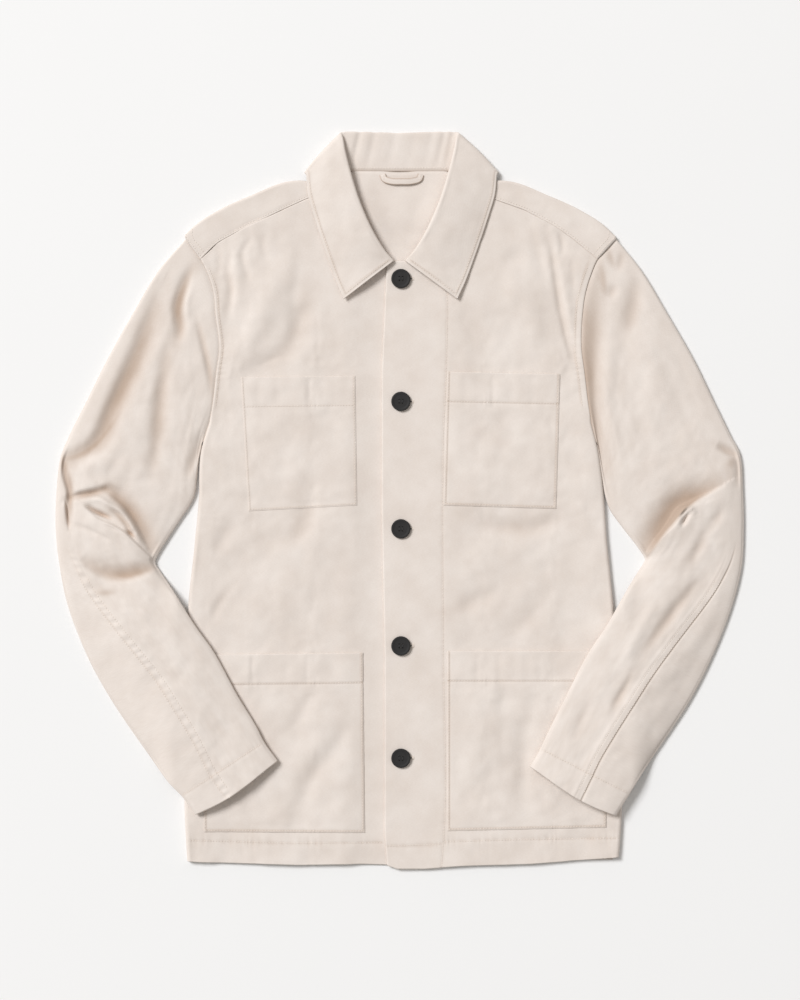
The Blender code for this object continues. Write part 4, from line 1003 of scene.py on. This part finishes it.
def sleeve(name, hand):
    """A flattened tube that bends at the elbow and lies back over the body. Returns its stitches too."""
    table = SLEEVE_SECTIONS[hand]
    end = len(table) - 1
    rings = even(SLEEVE_RINGS, (0.012, 0.025, end - 0.03))
    ox, oy, ix, iy, full = (flow(rings, range(end + 1), table[:, k])[:, None] for k in range(5))
    ring = rings[:, None]
    width = np.hypot(ix - ox, iy - oy)
    ax, ay = (ix - ox) / width, (iy - oy) / width
    bow = np.clip(1 - ring / ARMHOLE_RINGS, 0, 1) ** 2
    edge, inner_width = SLEEVE_EDGE, width - 2 * SLEEVE_EDGE

    def place(distance):
        """Plan points at a distance from the outer edge."""
        share = distance / width
        arm_y = table[0, 1] + (table[0, 3] - table[0, 1]) * share
        chord_x = table[0, 0] + (table[0, 2] - table[0, 0]) * share
        arm_x = hand * (side(arm_y, hand) + ARMHOLE_SEAM)
        return ox + ax * distance + (arm_x - chord_x) * bow, oy + ay * distance

    def bed(x, y):
        """Surface the lower layer lies on."""
        return body_height(x, y, hand) * ease(ring, FOREARM_RING - 0.5, FOREARM_RING + 1.5)

    # the upper layer
    seam_at = np.maximum(flow(ring, SEAM_STATIONS, SEAM_SHARE[hand]), 0.04)
    across = graded(SLEEVE_TOP)
    share = np.where(across < 1, across * seam_at, seam_at + (across - 1) * (1 - seam_at))
    distance = edge + share * inner_width
    x, y = place(distance)
    under = ease(ring, 0.07, 0.0) * (0.5 + 0.5 * ease(share, 0, 0.03)) * ease(share, 1.0, 0.97)
    cuff = ease(ring, end - 1.2, end) * CUFF_BOW * swell(share ** 0.8, 1.4)
    x, y = x - hand * 2.4 * under - ay * hand * cuff, y + ax * hand * cuff
    bridge = body_height(x, y, hand, -120) * ease(ring, FOREARM_RING - 2.5, FOREARM_RING + 3)
    base = bed(x, y) + np.maximum(bridge - bed(x, y), 0) * swell(share, 0.5)
    off_seam = (share - seam_at) * inner_width
    on_arm = ease(ring, 8.2, 9.2)
    steps = np.hypot(np.diff(x.mean(1)), np.diff(y.mean(1)))
    to_cuff = np.cumsum(np.concatenate([steps, [0]])[::-1])[::-1][:, None]
    hem = to_cuff - CUFF_HEM
    rim = np.minimum(share, 1 - share) * inner_width
    relief = folds(SLEEVE_FOLDS[hand], x, y)
    # Painted shade: the troughs of the folds, and the places in SLEEVE_SHADE, are drawn darker in the
    # cloth's colour
    painted_fold_shade = np.clip(np.maximum(-relief / 7.5, folds(SLEEVE_SHADE[hand], x, y)), 0, 1)
    relief *= ease(rim, 0, 4)
    relief += crumple(x, y, 91 + hand) * swell(share, 0.6)
    relief += 0.3 * mottle(distance, to_cuff * 0.22, 9, 95 + hand) * ease(rim, 0, 12)
    relief += on_arm * seam_relief(off_seam, to_cuff, hand)
    wave = ripple(off_seam, 6.4, 1.9, 0.23)
    relief += 0.3 * ease(hem, 0.5, -1.5) - 0.3 * ridge(hem, 1.3) + 0.12 * wave * np.exp(-np.abs(hem) / 5)
    rise = SLEEVE_FULLER * full * swell(share, 0.6) + relief * ease(ring, 0, 0.8)
    top = base + 2 * edge + settle(rise, -2.2, 0.9) - UNDER_DROP * under
    thick = CLOTH * (1 + 0.5 * ease(hem, 2, -2))
    upper, lining = [np.stack([x, y, top], -1)], [np.stack([x, y, top - thick], -1)]
    # Darker along the cuff's hem and the long seam, as wear and painted shade in their grooves, and painted
    # shade in the folds
    wear_and_shade = [np.clip(0.15 * ridge(hem, 1.2) + on_arm * (0.22 + 0.1 * hand) * ridge(off_seam, 1.1)
                    + 0.9 * painted_fold_shade, 0, 1)]
    turns = np.pi * np.arange(1, SLEEVE_EDGE_STEPS + 1) / (SLEEVE_EDGE_STEPS + 1)

    def turn_edge(distance, way):
        """The rounded edge between the layers."""
        x0, y0 = place(distance)
        base0 = bed(x0, y0)
        for into, radius in ((upper, edge), (lining, edge - CLOTH)):
            out, up = way * radius * np.sin(turns), way * radius * np.cos(turns)
            into.append(np.stack([x0 + ax * out, y0 + ay * out, base0 + edge + up], -1))
        wear_and_shade.append(np.zeros((len(rings), len(turns))))

    turn_edge(width - edge, 1)
    # the lower layer
    x, y = place(width - edge - inner_width * np.linspace(0, 1, SLEEVE_LOW))
    low_shift = CUFF_LAYER * ease(ring, end - 1.2, end)
    x, y = x + ay * low_shift * hand, y - ax * low_shift * hand
    base = bed(x, y)
    upper.append(np.stack([x, y, base], -1))
    lining.append(np.stack([x, y, base + CLOTH], -1))
    wear_and_shade.append(np.zeros(x.shape))
    turn_edge(edge, -1)
    outer, inner = (np.concatenate(grids, 1).transpose(1, 0, 2) for grids in (upper, lining))
    girth = np.linalg.norm(np.diff(outer[:, SLEEVE_TOP[0]], axis=0), axis=-1)
    girth = np.concatenate([[0], np.cumsum(girth)])
    flat = np.stack(np.broadcast_arrays(girth[:, None], to_cuff.T), -1)
    way = slice(None, None, hand)
    piece = shell(name, outer[way], inner[way], flat[way], np.concatenate(wear_and_shade, 1).T[way], ring=True)
    sewn_rows = (rings > 9.3) & (rings < end - 0.1)
    seam = edge + seam_at * inner_width
    lines = [np.stack(place(seam + off), -1)[sewn_rows, 0] for off in SEAM_ROWS[hand]]
    lines.append(upper[0][np.argmin(np.abs(hem)), 2:-2, :2])
    return piece, sewn(name, lines)


# ---------------------------------------------------------------- collar and loop
COLLAR_SPANS = (9,) * (len(COLLAR) - 1)
# Puckers of the stand behind the neck: x, depth
COLLAR_PUCKERS = ((-47, 1.5), (-31, 1.2), (-9, 0.8), (12, 0.4), (30, 0.6), (43, 1.1), (52, 1.0))


def collar_rows():
    """The collar's sections all round, from one front edge to the other, each as in its table."""
    at = even(COLLAR_SPANS, (0.02, 0.05, 0.08))
    half = np.stack([flow(at, range(len(COLLAR)), column) for column in COLLAR.T], -1)
    other = half[::-1][1:].copy()
    other[:, (0, 3, 6)] *= -1
    other[:, 6] *= COLLAR_RIGHT_REACH
    return np.concatenate([half, other])


def collar_section(row, fall_at):
    """Points across the band: stand, roll and fall."""
    neck, fold, edge = row[0:3], row[3:6], row[6:9]
    turn, radius = np.radians(row[9]), row[10]
    outward = np.array((np.sign(fold[0]) * 0.73, 0.68, 0.0))
    over = np.cos(turn) * np.array((0, 0, 1.0)) + np.sin(turn) * outward
    back_dir = (neck + edge) / 2 - fold
    back_dir[2] = 0
    back_dir /= np.linalg.norm(back_dir)
    centre = fold + back_dir * radius
    roll = [centre + radius * (-back_dir * np.sin(a) - over * np.cos(a))
            for a in np.linspace(0, np.pi, ROLL_STEPS + 1)]
    stand = [neck + (roll[0] - neck) * k / STAND_STEPS for k in range(STAND_STEPS)]
    bulge = 1.6 * np.sin(np.pi * fall_at) * max(0.0, np.cos(turn / 2))
    fall = [roll[-1] + (edge - roll[-1]) * part + over * out for part, out in zip(fall_at, bulge)]
    return stand + roll + fall


def collar(name):
    """Stand and fall in one band. The fall turns under behind the neck. Returns its stitches too."""
    rows = collar_rows()
    fall_at = graded((FALL_STEPS,))[1:]
    middle = np.array([collar_section(row, fall_at) for row in rows])
    normal = np.cross(np.gradient(middle, axis=0), np.gradient(middle, axis=1))
    normal /= np.linalg.norm(normal, axis=-1, keepdims=True)
    columns, rolled = middle.shape[1], STAND_STEPS + ROLL_STEPS
    v = np.arange(columns)
    on_fall = ease(v, rolled, rolled + 3)
    on_stand = swell(np.clip(v / (rolled - 2), 0, 1), 0.7) * (v < rolled - 2)
    x, y = middle[..., 0], middle[..., 1]
    leaf = ease(rows[:, 9], 50, 0)[:, None]
    relief = 0.8 * crumple(x, y, 17) * on_fall * leaf
    for where, depth in COLLAR_PUCKERS:
        relief = relief + depth * ridge(x - where - (y - 368) * 0.22, 3.2) * on_stand * (1 - leaf)
    to_edge, to_first, to_last = (np.linalg.norm(middle - line, axis=-1)
                                  for line in (middle[:, -1:], middle[:1], middle[-1:]))
    rim = np.minimum(to_edge, np.minimum(to_first, to_last))
    relief = relief + leaf * on_fall * (-0.3 * ridge(rim - COLLAR_EDGE, 1.0) - 0.35 * ease(rim, 1.2, 0))
    middle = middle + normal * relief[..., None]
    half_wall = COLLAR_CLOTH / 2
    to_neck = np.linalg.norm(middle - middle[:, :1], axis=-1)
    # Darker along the fall's stitched line, as wear and painted shade in its groove, and a painted shadow
    # along the neck seam under the stand's edge
    wear_and_shade = np.clip(0.35 * leaf * on_fall * ridge(rim - COLLAR_EDGE, 1.0), 0, 1)
    wear_and_shade += 0.35 * (1 - leaf) * ridge(to_neck, 0.7)
    run = np.cumsum(np.concatenate([[0], np.linalg.norm(np.diff(middle[:, STAND_STEPS], axis=0), axis=-1)]))
    flat = np.stack(np.broadcast_arrays(run[:, None], to_edge), -1)
    piece = shell(name, middle + normal * half_wall, middle - normal * half_wall, flat, wear_and_shade)

    def inside(points):
        """Where a line of points is this far from its first one."""
        reach = np.linalg.norm(points - points[0], axis=-1)
        return [np.interp(COLLAR_EDGE, reach, points[:, k]) for k in (0, 1)]

    over = np.flatnonzero(rows[:, 9] == 0)
    half = len(rows) // 2
    falls = range(rolled + 3, columns - 3)
    lines = [[inside(middle[k, ::-1][:FALL_STEPS]) for k in near[2:-2]]
             for near in (over[over < half], over[over > half])]
    lines += [[inside(from_front[:half, v]) for v in falls] for from_front in (middle, middle[::-1])]
    lines.append(middle[(np.abs(middle[:, 2, 0]) < 52) & (middle[:, 1, 1] > 344)][:, 1, :2])
    return piece, sewn(name, lines)


def hanger_loop(name):
    """Flat tape sewn into the neck seam at both ends. Returns its stitches too."""
    path = smooth(LOOP_PATH, 1.2)
    ahead = unit(np.gradient(path, axis=0))
    across = np.stack([-ahead[:, 1], ahead[:, 0]], -1)
    width = LOOP_WIDTH * np.linspace(-0.5, 0.5, 9)
    plan = path[:, None] + across[:, None] * width[None, :, None]
    arch = 2.2 * swell(np.linspace(0, 1, len(path)), 0.8)[:, None] * np.ones(len(width))
    lower = np.concatenate([plan, (COLLAR_BED + CLOTH + GAP + arch)[..., None]], -1)
    upper = lower.copy()
    beyond = np.abs(width) - LOOP_WIDTH / 2
    upper[..., 2] += LOOP_CLOTH - 0.15 * ridge(beyond + 1.2, 0.5)
    # The tape's long edges are drawn darker: painted shade round the tape
    piece = shell(name, upper, lower, plan, 0.6 * ridge(beyond, 0.6) * np.ones(plan.shape[:2]))
    return piece, sewn(name, [((x, 339.5), (x - 0.2, 345.5)) for x in (-16.6, 22.4)], 1.5)


# ---------------------------------------------------------------- buttons and buttonholes
# Radius and height, as shares of the button's own, from its underside over the rim to the dish
BUTTON_PROFILE = ((0.70, 0.0), (0.88, 0.16), (0.97, 0.40), (1, 0.62), (0.985, 0.84), (0.945, 0.97),
                  (0.90, 1), (0.85, 0.99), (0.80, 0.97), (0.745, 0.93), (0.70, 0.90), (0.62, BUTTON_DISH))
ON_FRONT = FRONT_TOP + GAP


def turned(name, profile, x, y):
    """A round resin body on the front, from its profile (radius, height)."""
    sides = 64
    angles = 2 * np.pi * np.arange(sides) / sides
    points = [(px * np.cos(a) + x, px * np.sin(a) + y, pz + ON_FRONT) for px, pz in profile for a in angles]
    return add_mesh(name, points, capped(len(profile), sides), resin)


def button(name, y):
    """A four-hole button with a raised rim and a shallow dish."""
    profile = [(BUTTON_RADIUS * out, BUTTON_THICK * up) for out, up in BUTTON_PROFILE]
    disc = turned(name, profile, BUTTON_X, y)
    through = ((BUTTON_HOLE, -1.0), (BUTTON_HOLE, BUTTON_THICK + 1))
    drills = [turned("drill", through, BUTTON_X + a * BUTTON_HOLE_OUT, y + b * BUTTON_HOLE_OUT)
              for a in (-1, 1) for b in (-1, 1)]
    for drill in drills:
        cut = disc.modifiers.new("hole", "BOOLEAN")
        cut.operation = "DIFFERENCE"
        cut.solver = "EXACT"
        cut.object = drill
    bpy.context.view_layer.update()
    shape = bpy.data.meshes.new_from_object(disc.evaluated_get(bpy.context.evaluated_depsgraph_get()))
    disc.modifiers.clear()
    disc.data = shape
    shape.shade_smooth()
    shape.set_sharp_from_angle(angle=0.6)
    for drill in drills:
        bpy.data.objects.remove(drill)
    return disc


def button_sewing(y):
    """Two bars of black thread from hole to hole, and a black strand laid along the buttonhole's slit, as
    painted shade of the slit where it shows beside the button.
    """
    dish = ON_FRONT + BUTTON_THICK * BUTTON_DISH
    out = BUTTON_HOLE_OUT
    parts = []
    for x in (BUTTON_X + a * out + strand for a in (-1, 1) for strand in (-0.36, 0, 0.36)):
        path = ((x, y - out - 0.1, dish - 1.2), (x, y - out + 0.1, dish), (x, y - out * 0.5, dish + 0.3),
                (x, y + out * 0.5, dish + 0.3), (x, y + out - 0.1, dish), (x, y + out + 0.1, dish - 1.2))
        parts.append(tube(path, 0.22, 6))
    # Painted shade: a black strand where the slit shows dark beside the button
    parts.append(tube([(x, y, FRONT_TOP + 0.2) for x in (5, 9, SLIT_END)], 0.42, 6))
    return parts


def buttonhole(y):
    """Satin stitches round a level slit, and three bars at its end."""
    def stitch(x, places, height, radius):
        low = FRONT_TOP - 0.25
        heights = (low, FRONT_TOP + height, FRONT_TOP + height, low)
        return tube([(x, y + off, z) for off, z in zip(places, heights)], radius, 4)

    parts = [stitch(x, (way * 0.35, way * 0.7, way * 1.3, way * 1.7), 0.22, 0.27)
             for x in np.arange(SLIT_START, SLIT_END + 0.3, SATIN_PITCH) for way in (-1, 1)]
    parts += [stitch(SLIT_END + beyond, (-1.8, -1.2, 1.2, 1.8), 0.3, 0.3) for beyond in (0.7, 1.2, 1.7)]
    return parts


# ---------------------------------------------------------------- making the pieces
pieces = {"back": back("back_cloth")}
stitches = {"back": []}
for hand, wearer in ((RIGHT, "right"), (LEFT, "left")):
    node = "front_" + wearer
    cloth = node + "_cloth"
    pieces[node], plan, top = front(cloth, hand)
    for where in ("chest", "hip"):
        pocket_node = f"pocket_{where}_{wearer}"
        pieces[pocket_node], stitches[pocket_node] = pocket(pocket_node + "_cloth", plan, top, where, hand)
    heights = np.arange(100, 252, 4.0)
    armhole_line = np.stack([hand * (side(heights, hand) - ARMHOLE_STITCH[hand]), heights], -1)
    stitches[node] = sewn(cloth, [line for line, *_ in FRONT_SEAMS[hand]] + [armhole_line])
    node = "sleeve_" + wearer
    pieces[node], stitches[node] = sleeve(node + "_cloth", hand)
    stitches["back"] += shoulder_stitches(hand)
pieces["collar"], stitches["collar"] = collar("collar_cloth")
pieces["hanger_loop"], stitches["hanger_loop"] = hanger_loop("hanger_loop_cloth")
stitches["buttonholes"] = [part for y in BUTTONS for part in buttonhole(y)]
for number, y in enumerate(BUTTONS, 1):
    pieces[f"button_{number}"] = button(f"button_{number}_turned", y)
sewing = gather("button_sewing", [part for y in BUTTONS for part in button_sewing(y)], black_thread)
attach(sewing, "root")

for node, piece in pieces.items():
    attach(piece, "root")
    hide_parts(node)
for node, parts in stitches.items():
    seam = gather(f"stitches_{node}", parts, thread)
    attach(seam, "root")

# ---------------------------------------------------------------- floor, light, camera, in metres
PIXEL = 1.06 * MM
FRAME_HEIGHT = 1000 * PIXEL
CAMERA_PLACE = (0.00028, -0.00032, 2.6)
SENSOR = 36.0
FLOOR_HALF = 3.0
FLOOR_HEIGHT = -0.0004
KEY_PLACE = (-11.2, 8.5, 15.6)
KEY_SIZE = 8.4
KEY_POWER = 3750
KEY_COLOUR = (0.985, 0.990, 1.0)
AIR_COLOUR = (1.0, 0.97, 0.93, 1)
AIR_STRENGTH = 0.41

floor_mesh = bpy.data.meshes.new("floor")
corners = [(a * FLOOR_HALF, b * FLOOR_HALF, FLOOR_HEIGHT) for a, b in ((-1, -1), (1, -1), (1, 1), (-1, 1))]
floor_mesh.from_pydata(corners, [], [(0, 1, 2, 3)])
floor_mesh.materials.append(uneven_material("floor_paper", (0.89,) * 3, (0.90,) * 3, 6, 0.9, 0.02))
place_object("floor", floor_mesh)

camera_data = bpy.data.cameras.new("camera")
camera_data.sensor_width = SENSOR
camera_data.lens = SENSOR * (CAMERA_PLACE[2] - FRONT_TOP * MM) / FRAME_HEIGHT
camera = place_object("camera", camera_data)
camera.location = CAMERA_PLACE
bpy.context.scene.camera = camera

lamp = bpy.data.lights.new("key", "AREA")
lamp.shape = "DISK"
lamp.size = KEY_SIZE
lamp.energy = KEY_POWER
lamp.color = KEY_COLOUR
key = place_object("key", lamp)
key.location = KEY_PLACE
key.rotation_mode = "QUATERNION"
key.rotation_quaternion = Vector(KEY_PLACE).to_track_quat("Z", "Y")

world = bpy.data.worlds.new("studio")
world.use_nodes = True
world.node_tree.nodes["Background"].inputs["Color"].default_value = AIR_COLOUR
world.node_tree.nodes["Background"].inputs["Strength"].default_value = AIR_STRENGTH
bpy.context.scene.world = world
bpy.context.scene.view_settings.view_transform = "Standard"
